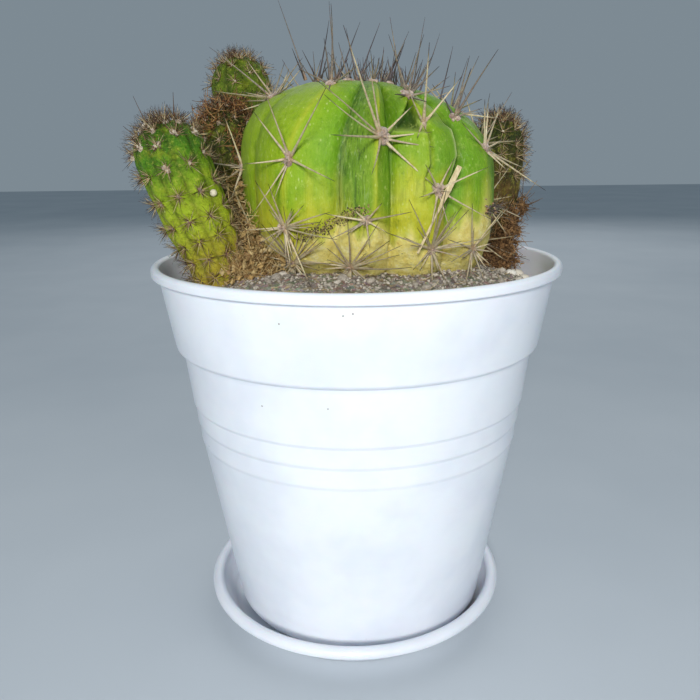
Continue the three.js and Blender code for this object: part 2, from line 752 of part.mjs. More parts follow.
/** Fine spines in rows down the ribs of a column and two rings of them on its dome. */
function columnSpines(column, obstacles) {
  if (!column.areoleStep) return [];
  const { lean, crownLean, shortest, longest, lowestShare, stagger, domeAngles } = FINE_SPINE;
  const random = randomStream(column.seed);
  const form = columnForm(column);
  const needles = [];
  const add = (share, domeAngle, angle, upward) => {
    const root = columnPoint(column, form, share, domeAngle, angle);
    const { up, centre } = form.at(share);
    const outward = root.clone().sub(centre);
    if (!domeAngle) outward.addScaledVector(up, -outward.dot(up));
    outward.normalize();
    const around = outward.clone().cross(up).normalize();
    const wanted = outward.clone().addScaledVector(up, upward * random());
    wanted.addScaledVector(around, lean * (2 * random() - 1)).normalize();
    const length = column.spine * (shortest + (longest - shortest) * random());
    const spine = placeSpine(column, root, outward, wanted, length, FINE_SPINE.ring, obstacles);
    if (spine) needles.push(needle(spine, FINE_SPINE.radius, FINE_SPINE.root));
  };
  const rows = Math.floor(form.length / column.areoleStep);
  for (let rib = 0; rib < column.ribs; rib += 1) {
    const angle = (360 * rib) / column.ribs;
    for (let row = 0; row < rows; row += 1) {
      const below = (row + stagger[rib % 2]) * column.areoleStep;
      add(Math.max(lowestShare, 1 - below / form.length), 0, angle, lean);
    }
    add(1, domeAngles[rib % 2], angle, crownLean);
  }
  return needles;
}

// ---------------------------------------------------------------- dry blade

/** The blade lies on the highest ribs between its two ends. */
function dryBladeGeometry() {
  const { top, foot, width, thickness } = DRY_BLADE;
  const from = globePoint(foot.angle, foot.polar);
  const to = globePoint(top.angle, top.polar);
  const outward = new THREE.Vector3(...DRY_BLADE.outward).normalize();
  let lift = 0;
  for (let k = 0; k <= 20; k += 1) {
    const point = new THREE.Vector3().lerpVectors(from, to, k / 20);
    lift = Math.max(lift, -globeClearance(point));
  }
  const away = lift + thickness / 2 + GAP + SLACK;
  from.addScaledVector(outward, away);
  to.addScaledVector(outward, away);
  const half = width / 2;
  const outline = new THREE.Shape([
    new THREE.Vector2(-half, thickness / 2),
    new THREE.Vector2(0, thickness / 4),
    new THREE.Vector2(half, thickness / 2),
    new THREE.Vector2(half, -thickness / 2),
    new THREE.Vector2(-half, -thickness / 2),
  ]);
  const depth = from.distanceTo(to);
  const geometry = new THREE.ExtrudeGeometry(outline, { depth, bevelEnabled: false });
  const along = to.clone().sub(from).normalize();
  const across = new THREE.Vector3().crossVectors(outward, along).normalize();
  const face = new THREE.Vector3().crossVectors(along, across);
  geometry.applyMatrix4(new THREE.Matrix4().makeBasis(across, face, along).setPosition(from));
  return { geometry, stretch: { from, to } };
}

// ---------------------------------------------------------------- assembly

/** How far a point lies outside a column; negative inside it. */
function columnClearance(column) {
  const form = columnForm(column);
  const stations = Array.from({ length: 17 }, (_, k) => form.at(k / 16));
  const end = form.at(1);
  const headCentre = end.centre.clone().addScaledVector(end.up, column.dome - end.radius);
  stations.push({ centre: headCentre, radius: end.radius });
  return (point) => Math.min(...stations.map(({ centre, radius }) => point.distanceTo(centre) - radius));
}

/** How far a point lies outside the dry blade. */
function bladeClearance({ from, to }) {
  const line = new THREE.Line3(from, to);
  const nearest = new THREE.Vector3();
  const reach = DRY_BLADE.width / 2;
  return (point) => point.distanceTo(line.closestPointToPoint(point, true, nearest)) - reach;
}

function namedMesh(name, geometry, { colour, roughness }) {
  const material = new THREE.MeshStandardMaterial({ color: colour, roughness, metalness: 0 });
  const mesh = new THREE.Mesh(geometry, material);
  mesh.name = name;
  return mesh;
}

const blade = dryBladeGeometry();
const globe = { name: 'globe_cactus', clearance: globeClearance };
const columns = COLUMNS.map((column) => ({ name: column.name, clearance: columnClearance(column) }));
const stems = [globe, ...columns];
const obstacles = [...stems, { name: 'dry_blade', clearance: bladeClearance(blade.stretch) }];

const globeSolid = fuse(toSolid(globeGeometry()), globeSpines(globe, obstacles));
const pieces = {
  saucer: toGeometry(toSolid(saucerGeometry())),
  pot: potGeometry(),
  soil: soilGeometry(stems),
  globe_cactus: toGeometry(globeSolid),
  dry_blade: toGeometry(toSolid(blade.geometry)),
};

const plant = new THREE.Group();
for (const [name, geometry] of Object.entries(pieces)) {
  plant.add(namedMesh(name, geometry, FINISHES[name]));
}
for (const column of COLUMNS) {
  const solid = fuse(toSolid(columnGeometry(column)), columnSpines(column, obstacles));
  const finish = { colour: column.colour, roughness: COLUMN_ROUGHNESS };
  plant.add(namedMesh(column.name, toGeometry(solid), finish));
}

export default plant;
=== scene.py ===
"""A potted group of cacti, dressed for a close look.

A round ribbed globe with star-shaped spines and four finely spined columns stand in gritty soil,
in a white plastic pot on its saucer. Sizes in the classes are millimetres and angles are degrees;
a mesh is written in metres. +Z is up, the pot's axis is the Z axis and the front faces -Y.
"""

import logging
import math
from collections.abc import Callable, Iterator
from contextlib import contextmanager
from dataclasses import dataclass, field
from enum import Enum

import bpy
import numpy as np
from mathutils import Matrix, Vector
from mathutils.bvhtree import BVHTree


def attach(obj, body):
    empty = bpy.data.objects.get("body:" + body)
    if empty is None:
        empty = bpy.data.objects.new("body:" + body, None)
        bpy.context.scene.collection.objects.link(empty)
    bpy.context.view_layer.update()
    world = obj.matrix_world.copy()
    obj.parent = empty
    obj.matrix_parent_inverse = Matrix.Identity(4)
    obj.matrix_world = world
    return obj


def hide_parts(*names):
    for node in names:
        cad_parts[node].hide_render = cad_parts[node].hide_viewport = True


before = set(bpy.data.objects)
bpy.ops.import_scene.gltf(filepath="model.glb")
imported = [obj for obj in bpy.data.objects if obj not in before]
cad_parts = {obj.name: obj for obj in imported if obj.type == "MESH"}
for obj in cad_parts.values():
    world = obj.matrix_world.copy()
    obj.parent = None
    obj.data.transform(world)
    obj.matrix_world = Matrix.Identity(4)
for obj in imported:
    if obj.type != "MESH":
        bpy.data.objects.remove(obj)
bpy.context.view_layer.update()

LOG = logging.getLogger("potted_cactus")
MM = 0.001
BODY = "root"

FULL_TURN = 6.28
EDGE_ANGLE = 50

Object = bpy.types.Object
Material = bpy.types.Material
Socket = bpy.types.NodeSocket
Array = np.ndarray
Random = np.random.Generator
Pair = tuple[float, float]
Triple = tuple[float, float, float]
Profile = list[Pair]
Stops = tuple[tuple[float, str], ...]


# ---- small helpers


def smoothstep(low: float, high: float, value: Array) -> Array:
    """Ease from 0 at low to 1 at high."""
    t = np.clip((np.asarray(value, float) - low) / (high - low), 0, 1)
    return t * t * (3 - 2 * t)


def bell(value: Array, middle: float, width: float) -> Array:
    """A bump of height 1 round a middle value."""
    return np.exp(-(((np.asarray(value, float) - middle) / width) ** 2))


def unit(vectors: Array) -> Array:
    """Vectors of length 1, along the last axis."""
    return vectors / np.maximum(np.linalg.norm(vectors, axis=-1, keepdims=True), 1e-9)


def linear(code: str) -> tuple[float, float, float, float]:
    """A colour given as RRGGBB, as the linear values that a shader takes."""
    shares = (int(code[k : k + 2], 16) / 255 for k in (0, 2, 4))
    return (*(s / 12.92 if s <= 0.04045 else ((s + 0.055) / 1.055) ** 2.4 for s in shares), 1.0)


def arc(middle: Pair, radius: float, start: float, end: float, steps: int) -> Profile:
    """Points of a profile on an arc round [radius, height]."""
    angles = [math.radians(start + (end - start) * k / steps) for k in range(steps + 1)]
    return [(middle[0] + radius * math.cos(a), middle[1] + radius * math.sin(a)) for a in angles]


def added(name: str) -> Object:
    """Name the primitive that was added last."""
    piece = bpy.context.active_object
    piece.name = name
    piece.data.name = name
    return piece


def take_up(piece: Object) -> None:
    """Make a piece the only selected one."""
    bpy.ops.object.select_all(action="DESELECT")
    piece.select_set(True)
    bpy.context.view_layer.objects.active = piece


def settle(piece: Object) -> None:
    """Put a piece's place, turn and scale into its mesh."""
    take_up(piece)
    bpy.ops.object.transform_apply(location=True, rotation=True, scale=True)


@contextmanager
def editing(piece: Object, mode: str = "VERT") -> Iterator[None]:
    """Work on a piece in edit mode."""
    take_up(piece)
    bpy.ops.object.mode_set(mode="EDIT")
    bpy.ops.mesh.select_mode(type=mode)
    yield
    bpy.ops.object.mode_set(mode="OBJECT")


def face_outward(piece: Object) -> None:
    """Turn the faces of a closed piece outwards."""
    with editing(piece):
        bpy.ops.mesh.select_all(action="SELECT")
        bpy.ops.mesh.normals_make_consistent(inside=False)


def shaped_by(piece: Object, kind: str, **settings: object) -> None:
    """Add a modifier to a piece, set it up and apply it."""
    modifier = piece.modifiers.new(kind.title(), kind)
    for key, value in settings.items():
        setattr(modifier, key, value)
    take_up(piece)
    bpy.ops.object.modifier_apply(modifier=modifier.name)


def roughened(piece: Object, size: float, height: float, group: str = "") -> None:
    """Raise and lower a piece's surface by a cloudy solid noise."""
    texture = bpy.data.textures.new(f"{piece.name}_clouds", "CLOUDS")
    texture.noise_scale = size * MM
    settings = {"texture": texture, "strength": height * MM, "mid_level": 0.5}
    shaped_by(piece, "DISPLACE", vertex_group=group, **settings)


def smooth(piece: Object, angle: float = 180) -> None:
    """Shade a piece smooth, but for edges that are sharper than an angle."""
    take_up(piece)
    bpy.ops.object.shade_smooth_by_angle(angle=math.radians(angle))


def points_of(piece: Object) -> Array:
    """A piece's vertices in millimetres."""
    flat = np.empty(len(piece.data.vertices) * 3)
    piece.data.vertices.foreach_get("co", flat)
    return flat.reshape(-1, 3) / MM


def move_points(piece: Object, points: Array) -> None:
    """Put a piece's vertices at places in millimetres."""
    piece.data.vertices.foreach_set("co", (points * MM).ravel())
    piece.data.update()


def mark(piece: Object, name: str, values: Array) -> None:
    """Keep a number or a colour on each vertex, for the piece's material to read."""
    kind = "FLOAT" if values.ndim == 1 else "FLOAT_COLOR"
    attribute = piece.data.attributes.new(name, kind, "POINT")
    attribute.data.foreach_set("value" if values.ndim == 1 else "color", values.ravel())


def finished(piece: Object, finish: "Finish", slot: str, *nodes: str) -> Object:
    """Give a piece its material and seat it on the body."""
    piece.data.materials.clear()
    piece.data.materials.append(finish.material())
    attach(piece, BODY)
    if nodes:
        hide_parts(*nodes)
    return piece


def turned(name: str, profile: Profile, sides: int, x: float = 0, y: float = 0) -> Object:
    """Turn a closed piece round an upright axis, ring by ring, and cap its ends.

    Args:
        name: the piece's name.
        profile: its outline as [radius, height], from one end on the axis to the other.
        sides: how many sides each ring has.
        x: the axis' place.
        y: the axis' place.

    Returns:
        The piece.
    """
    radius, height = profile[0]
    place = (x * MM, y * MM, height * MM)
    bpy.ops.object.select_all(action="DESELECT")
    bpy.ops.mesh.primitive_circle_add(vertices=sides, radius=radius * MM, location=place)
    piece = added(name)
    with editing(piece, "EDGE"):
        bpy.ops.mesh.select_all(action="SELECT")
        for next_radius, next_height in profile[1:]:
            rise = (0, 0, (next_height - height) * MM)
            bpy.ops.mesh.extrude_region_move(TRANSFORM_OT_translate={"value": rise})
            share = next_radius / radius
            middle = (x * MM, y * MM, next_height * MM)
            bpy.ops.transform.resize(value=(share, share, 1), center_override=middle)
            radius, height = next_radius, next_height
        bpy.ops.mesh.select_all(action="SELECT")
        bpy.ops.mesh.fill_holes(sides=0)
    face_outward(piece)
    settle(piece)
    return piece


def tree_of(*pieces: Object) -> BVHTree:
    """A search tree over the surfaces of pieces that stand at the origin."""
    points: list[Vector] = []
    faces: list[tuple[int, ...]] = []
    for piece in pieces:
        start = len(points)
        points += [vertex.co for vertex in piece.data.vertices]
        faces += [tuple(start + v for v in face.vertices) for face in piece.data.polygons]
    return BVHTree.FromPolygons(points, faces)


# ---- copies of a small shape


@dataclass
class Copies:
    """Places for the copies of a small shape, gathered before they are stamped."""

    origins: list[Array] = field(default_factory=list)
    axes: list[Array] = field(default_factory=list)
    bends: list[Array] = field(default_factory=list)
    shades: list[float] = field(default_factory=list)

    def add(self, origin: Array, axes: Array, shade: float, bend: Array | None = None) -> None:
        """Add one copy."""
        self.origins.append(np.asarray(origin, float))
        self.axes.append(np.asarray(axes, float))
        self.bends.append(np.zeros(3) if bend is None else np.asarray(bend, float))
        self.shades.append(shade)

    def add_spine(
        self, root: Array, reach: Array, radius: float, shade: float, bend: Array | None = None,
    ) -> None:
        """Add a spine, hair or fibre."""
        along = unit(reach)
        across = unit(np.cross(along, [0.3, 0.9, 0.2]))
        axes = np.array([across * radius, np.cross(along, across) * radius, reach])
        self.add(root, axes, shade, bend)

    def add_cushion(self, root: Array, outward: Array, size: Pair, turn: float, shade: float) -> None:
        """Add a cushion or crumb that sits on a skin."""
        width, height = size
        side = unit(np.cross(outward, [0.2, 0.3, 1.0]))
        top = np.cross(outward, side)
        first = side * math.cos(turn) + top * math.sin(turn)
        axes = np.array([first * width, np.cross(outward, first) * width, unit(outward) * height])
        self.add(root, axes, shade)


class Stamp:
    """A small shape that is modelled once and copied many times into one piece."""

    def __init__(self, model: Object) -> None:
        """Take the shape over from its model, which is then removed."""
        self.points = points_of(model) * MM
        self.faces = [tuple(face.vertices) for face in model.data.polygons]
        mesh = model.data
        bpy.data.objects.remove(model)
        bpy.data.meshes.remove(mesh)

    def stamped(self, name: str, copies: Copies) -> Object:
        """Copy the shape to all its places.

        Args:
            name: the new piece's name.
            copies: the places.

        Returns:
            The piece, with the attributes along (0 at a root to 1 at a tip) and shade.
        """
        axes, origins = np.array(copies.axes), np.array(copies.origins)
        along = np.clip(self.points[:, 2], 0, 1)
        points = np.einsum("vk,nkc->nvc", self.points, axes) + origins[:, None]
        points += along[None, :, None] ** 2 * np.array(copies.bends)[:, None]
        count = len(self.points)
        faces = [tuple(v + n * count for v in face) for n in range(len(origins)) for face in self.faces]
        mesh = bpy.data.meshes.new(name)
        mesh.from_pydata((points.reshape(-1, 3) * MM).tolist(), [], faces)
        piece = bpy.data.objects.new(name, mesh)
        bpy.context.scene.collection.objects.link(piece)
        mark(piece, "along", np.tile(along, len(origins)))
        mark(piece, "shade", np.repeat(np.array(copies.shades), count))
        smooth(piece, 60)
        return piece


def spine_stamp(sides: int, rings: int, tip: float = 0.12) -> Stamp:
    """Model a spine 1 long with a swollen foot, pointing up from its root.

    Args:
        sides: its sides.
        rings: how many times it is cut across.
        tip: the tip's width beside the foot's.

    Returns:
        The stamp.
    """
    foot_swell, foot_reach = 0.35, 0.08
    waist, waist_place, waist_reach = 0.12, 0.35, 0.3
    bpy.ops.object.select_all(action="DESELECT")
    bpy.ops.mesh.primitive_cone_add(vertices=sides, radius1=1, radius2=tip, depth=1.0, location=(0, 0, 0.5))
    model = added("spine_model")
    settle(model)
    with editing(model):
        for ring in range(1, rings):
            bpy.ops.mesh.select_all(action="SELECT")
            bpy.ops.mesh.bisect(plane_co=(0, 0, ring / rings), plane_no=(0, 0, 1))
    face_outward(model)
    points = points_of(model)
    share = points[:, 2] * MM
    girth = 1 + foot_swell * bell(share, 0, foot_reach) - waist * bell(share, waist_place, waist_reach)
    points[:, :2] *= girth[:, None]
    move_points(model, points)
    return Stamp(model)


def crumb_stamp(subdivisions: int, roughness: float, seed: int) -> Stamp:
    """Model a rough crumb about 1 in radius: a grain, a pebble or a tuft of wool.

    Args:
        subdivisions: how fine it is.
        roughness: how far its points are moved in and out.
        seed: seed of the moves.

    Returns:
        The stamp.
    """
    bpy.ops.object.select_all(action="DESELECT")
    bpy.ops.mesh.primitive_ico_sphere_add(subdivisions=subdivisions, radius=1)
    model = added("crumb_model")
    points = points_of(model)
    random = np.random.default_rng(seed)
    points *= 1 + roughness * (random.random((len(points), 1)) - 0.5)
    move_points(model, points)
    return Stamp(model)


# ---- the photograph's view


@dataclass(frozen=True)
class PhotoView:
    """The view that the photograph was taken from, and the camera for it.

    The angles are in degrees, and focal, middle and size are in pixels of the photograph.
    """

    place: Triple = (1.0, -200.56, 135.86)
    yaw: float = -0.57
    pitch: float = 15.73
    roll: float = -0.66
    focal: float = 691.21
    middle: Pair = (353.75, 351.22)
    size: float = 700
    sensor: float = 36
    search_steps: int = 60

    def axes(self) -> Array:
        """The view's right, up and forward directions.

        Returns:
            The three directions, as rows.
        """
        yaw, pitch, roll = np.radians([self.yaw, self.pitch, self.roll])
        ahead = np.array([math.sin(yaw), math.cos(yaw), 0])
        forward = ahead * math.cos(pitch) - np.array([0, 0, math.sin(pitch)])
        level = np.array([math.cos(yaw), -math.sin(yaw), 0])
        upright = np.cross(level, forward)
        right = level * math.cos(roll) + upright * math.sin(roll)
        up = upright * math.cos(roll) - level * math.sin(roll)
        return np.array([right, up, forward])

    def ray(self, pixel: Pair) -> Array:
        """Direction of sight through a pixel."""
        across, down = np.subtract(pixel, self.middle) / self.focal
        return unit(np.array([across, -down, 1]) @ self.axes())

    def hit(self, tree: BVHTree, pixel: Pair) -> tuple[Array, Array] | None:
        """The place on a surface that a pixel shows."""
        start = Vector(np.array(self.place) * MM)
        found = tree.ray_cast(start, Vector(self.ray(pixel)))
        if found[0] is None:
            return None
        normal = np.array(found[1])
        return np.array(found[0]) / MM, normal if normal @ self.ray(pixel) < 0 else -normal

    def hit_near(self, tree: BVHTree, pixel: Pair, inward: Pair) -> tuple[Array, Array]:
        """The place on a surface at a pixel, or at the nearest one that shows the surface."""
        start, step = np.array(pixel, float), np.subtract(inward, pixel)
        for share in np.linspace(0, 0.5, self.search_steps):
            found = self.hit(tree, tuple(start + share * step))
            if found:
                return found
        raise ValueError(f"no surface near pixel {pixel}")

    def at_depth(self, pixel: Pair, depth: float) -> Array:
        """The point that a pixel shows on the upright plane y = depth."""
        ray = self.ray(pixel)
        return np.array(self.place) + ray * (depth - self.place[1]) / ray[1]

    def shows(self, tree: BVHTree, point: Array, slack: float = 0.15) -> bool:
        """Tell whether the camera sees a point past a surface."""
        sight = point - np.array(self.place)
        far = float(np.linalg.norm(sight))
        found = tree.ray_cast(Vector(np.array(self.place) * MM), Vector(sight / far))
        return found[0] is None or found[3] / MM > far - slack

    def seen_direction(self, clock: float) -> Array:
        """A direction in the picture, clockwise from straight up."""
        right, up, _ = self.axes()
        return right * math.sin(math.radians(clock)) + up * math.cos(math.radians(clock))

    def add_camera(self) -> None:
        """Add the camera and make it the scene's."""
        data = bpy.data.cameras.new("camera")
        data.sensor_width = self.sensor
        data.lens = self.sensor * self.focal / self.size
        data.shift_x = 0.5 - self.middle[0] / self.size
        data.shift_y = self.middle[1] / self.size - 0.5
        data.clip_start = 0.01
        camera = bpy.data.objects.new("camera", data)
        right, up, forward = self.axes()
        turn = Matrix((right, up, -forward)).transposed().to_4x4()
        camera.matrix_world = Matrix.Translation(Vector(self.place) * MM) @ turn
        bpy.context.scene.collection.objects.link(camera)
        bpy.context.scene.camera = camera


VIEW = PhotoView()


# ---- finishes


@dataclass(frozen=True)
class Tint:
    """A colour laid on where a noise goes from start to full, up to a share."""

    code: str
    start: float
    full: float
    share: float = 1


class Tree:
    """A material's node tree, built a node at a time."""

    def __init__(self, name: str) -> None:
        """Start a material with its shader."""
        self.material = bpy.data.materials.new(name)
        self.material.use_nodes = True
        self.nodes = self.material.node_tree.nodes
        self.links = self.material.node_tree.links
        self.shader = self.nodes["Principled BSDF"]

    def node(self, kind: str, sockets: dict[str | int, object], **settings: object) -> bpy.types.Node:
        """Add a node."""
        node = self.nodes.new(f"ShaderNode{kind}")
        for key, value in settings.items():
            setattr(node, key, value)
        for name, value in sockets.items():
            self.feed(node.inputs[name], value)
        return node

    def feed(self, socket: Socket, value: object) -> None:
        """Link or set one socket."""
        if isinstance(value, bpy.types.NodeSocket):
            self.links.new(value, socket)
        else:
            socket.default_value = value

    def place(self, stretch: Triple = (1, 1, 1), source: str = "Object") -> Socket:
        """Object or UV coordinates, stretched."""
        coordinates = self.node("TexCoord", {}).outputs[source]
        return self.node("Mapping", {"Vector": coordinates, "Scale": stretch}).outputs["Vector"]

    def value(self, name: str) -> Socket:
        """A number that the piece keeps on its vertices."""
        return self.node("Attribute", {}, attribute_name=name).outputs["Fac"]

    def tone(self, name: str) -> Socket:
        """A colour that the piece keeps on its vertices."""
        return self.node("Attribute", {}, attribute_name=name).outputs["Color"]

    def noise(self, place: Socket, scale: float, detail: float = 5, rough: float = 0.6) -> Socket:
        """Cloudy noise; in object coordinates the scale is lumps per metre."""
        sockets = {"Vector": place, "Scale": scale, "Detail": detail, "Roughness": rough}
        return self.node("TexNoise", sockets).outputs["Fac"]

    def cells(self, place: Socket, scale: float, output: str = "Distance") -> Socket:
        """Cellular noise."""
        return self.node("TexVoronoi", {"Vector": place, "Scale": scale}).outputs[output]

    def ramp(self, factor: Socket, *stops: tuple[float, str]) -> Socket:
        """Colours along a factor.

        Args:
            factor: the factor, from 0 to 1.
            stops: places along it and their colours as RRGGBB.

        Returns:
            The colour.
        """
        node = self.node("ValToRGB", {"Fac": factor})
        elements = node.color_ramp.elements
        while len(elements) < len(stops):
            elements.new(0.5)
        for element, (position, code) in zip(elements, stops):
            element.position = position
            element.color = linear(code)
        return node.outputs["Color"]

    def share(self, factor: Socket, low: float, high: float, top: float = 1) -> Socket:
        """A factor stretched from low..high to 0..top."""
        sockets = {"Value": factor, "From Min": low, "From Max": high, "To Max": top}
        return self.node("MapRange", sockets, interpolation_type="SMOOTHSTEP").outputs["Result"]

    def mix(self, factor: object, first: object, second: object, blend: str = "MIX") -> Socket:
        """Mix two colours."""
        node = self.node("MixRGB", {"Fac": factor, "Color1": first, "Color2": second}, blend_type=blend)
        return node.outputs["Color"]

    def tinted(self, colour: Socket, noise: Socket, *tints: Tint, within: Socket | None = None) -> Socket:
        """Lay tints over a colour by one noise."""
        for tint in tints:
            share = self.share(noise, tint.start, tint.full, tint.share)
            if within:
                share = self.maths("MULTIPLY", share, within)
            colour = self.mix(share, colour, linear(tint.code))
        return colour

    def maths(self, operation: str, first: object, second: object = 0.0) -> Socket:
        """One sum on two numbers."""
        return self.node("Math", {0: first, 1: second}, operation=operation).outputs["Value"]

    def bump(self, height: Socket, depth: float, under: Socket | None = None) -> Socket:
        """Raise bumps on top of others."""
        sockets: dict[str | int, object] = {"Height": height, "Distance": depth * MM, "Strength": 1}
        if under:
            sockets["Normal"] = under
        return self.node("Bump", sockets).outputs["Normal"]

    def done(
        self, colour: object, roughness: object, normal: Socket | None = None, **fixed: object,
    ) -> Material:
        """Feed the shader."""
        self.feed(self.shader.inputs["Base Color"], colour)
        self.feed(self.shader.inputs["Roughness"], roughness)
        if normal:
            self.feed(self.shader.inputs["Normal"], normal)
        for name, value in fixed.items():
            self.shader.inputs[name.replace("_", " ")].default_value = value
        return self.material


@dataclass(frozen=True)
class Finish:
    """What a piece is made of.

    In every finish a name that ends in scale is a noise's lumps per metre, one in depth is the
    depth of bumps in millimetres, and colours are given as RRGGBB.
    """

    name: str

    def material(self) -> Material:
        """The finish's material, made once."""
        name = f"{self.name}_finish"
        return bpy.data.materials.get(name) or self.built(Tree(name))

    def built(self, tree: Tree) -> Material:
        """Build the material; each finish does it its own way."""
        raise NotImplementedError


@dataclass(frozen=True)
class Plastic(Finish):
    """White moulded plastic, satin, a little cloudy, with rare specks of dust."""

    colour: str = "EEF1F7"
    cloudy: Tint = Tint("E3E7EF", 0.35, 0.75)
    cloud_scale: float = 45
    speck: Tint = Tint("6F6A62", 0.035, 0.02, 0.35)
    speck_scale: float = 210
    speck_areas: Pair = (0.6, 0.66)
    grain_scale: float = 2600
    grain_depth: float = 0.012
    wave_scale: float = 90
    wave_depth: float = 0.12
    least_rough: float = 0.27

    def built(self, tree: Tree) -> Material:
        """Build the material in its node tree."""
        place = tree.place()
        colour = tree.tinted(linear(self.colour), tree.noise(place, self.cloud_scale, 3), self.cloudy)
        rare = tree.share(tree.noise(place, 60, 2), *self.speck_areas)
        colour = tree.tinted(colour, tree.cells(place, self.speck_scale), self.speck, within=rare)
        waves = tree.bump(tree.noise(tree.place((1, 1, 3)), self.wave_scale, 2), self.wave_depth)
        normal = tree.bump(tree.noise(place, self.grain_scale, 4), self.grain_depth, under=waves)
        uneven = tree.share(tree.noise(place, 320, 4), 0.2, 0.8, 0.1)
        return tree.done(
            colour, tree.maths("ADD", uneven, self.least_rough), normal,
            IOR=1.49, Subsurface_Weight=0.12, Subsurface_Scale=0.002, Coat_Weight=0.15, Coat_Roughness=0.2,
        )


@dataclass(frozen=True)
class GlobeSkin(Finish):
    """Waxy green skin: pale flecks, streaks along the ribs, cork and old scars low down."""

    patch_scale: float = 130
    patches: tuple[Tint, ...] = (Tint("A8C020", 0.5, 0.8, 0.3), Tint("4E8414", 0.5, 0.22, 0.35))
    stroke_scale: float = 700
    strokes: tuple[Tint, ...] = (Tint("B6CC5A", 0.54, 0.7, 0.28), Tint("4E7A10", 0.46, 0.3, 0.25))
    streak_scale: float = 26
    streaks: tuple[Tint, ...] = (Tint("A9B88C", 0.56, 0.68, 0.75), Tint("2C4A18", 0.5, 0.38, 0.6))
    mottle_scale: float = 620
    mottles: tuple[Tint, ...] = (Tint("C8D66E", 0.52, 0.72, 0.4), Tint("3C6E0E", 0.46, 0.28, 0.4))
    fleck_scale: float = 760
    flecks: Tint = Tint("D0DE8E", 0.24, 0.08, 0.5)
    fleck_areas: Pair = (0.46, 0.6)
    corky: Stops = ((0.25, "BE9C48"), (0.4, "ECD870"), (0.55, "F6E890"), (0.75, "FFF8D8"))
    cork_scale: float = 420
    cork_edge: Pair = (0.75, 1.25)
    cork_share: float = 0.85
    cork_depth: float = 0.9
    pit_scale: float = 700
    pits: Tint = Tint("3A2614", 0.16, 0.05)
    streak_depth: float = 0.35
    mottle_depth: float = 0.16
    grain_depth: float = 0.12

    def built(self, tree: Tree) -> Material:
        """Build the material in its node tree."""
        place = tree.place()
        cork = tree.value("cork")
        colour = tree.tinted(tree.tone("tone"), tree.noise(place, self.patch_scale), *self.patches)
        strokes = tree.noise(tree.place((1, 1, 0.4)), self.stroke_scale, 5, 0.65)
        colour = tree.tinted(colour, strokes, *self.strokes)
        streaks = tree.noise(tree.place((9, 1, 1), "UV"), self.streak_scale, 6, 0.7)
        colour = tree.tinted(colour, streaks, *self.streaks, within=tree.value("flank"))
        mottle = tree.noise(place, self.mottle_scale, 7, 0.75)
        colour = tree.tinted(colour, mottle, *self.mottles)
        flecks = tree.cells(tree.place((1, 1, 0.6)), self.fleck_scale)
        fleck_areas = tree.share(tree.noise(place, 160, 3), *self.fleck_areas)
        colour = tree.tinted(colour, flecks, self.flecks, within=fleck_areas)
        corky = tree.ramp(tree.noise(place, self.cork_scale, 8, 0.72), *self.corky)
        broken = tree.maths("ADD", cork, tree.maths("MULTIPLY", tree.noise(place, 150), 0.9))
        colour = tree.mix(tree.share(broken, *self.cork_edge, self.cork_share), colour, corky)
        pit_areas = tree.maths("MULTIPLY", tree.share(tree.noise(place, 160, 4), 0.5, 0.6), cork)
        colour = tree.tinted(colour, tree.cells(place, self.pit_scale), self.pits, within=pit_areas)
        normal = tree.bump(mottle, self.mottle_depth)
        normal = tree.bump(tree.noise(place, 1500, 5, 0.7), self.grain_depth, under=normal)
        normal = tree.bump(streaks, self.streak_depth, under=normal)
        crumbled = tree.maths("MULTIPLY", tree.noise(place, 520, 8, 0.75), cork)
        normal = tree.bump(crumbled, self.cork_depth, under=normal)
        roughness = tree.maths("ADD", tree.maths("MULTIPLY", cork, 0.35), 0.42)
        return tree.done(
            colour, roughness, normal, Specular_IOR_Level=0.28,
            Subsurface_Weight=0.18, Subsurface_Radius=(0.9, 1.0, 0.25), Subsurface_Scale=0.0025,
        )


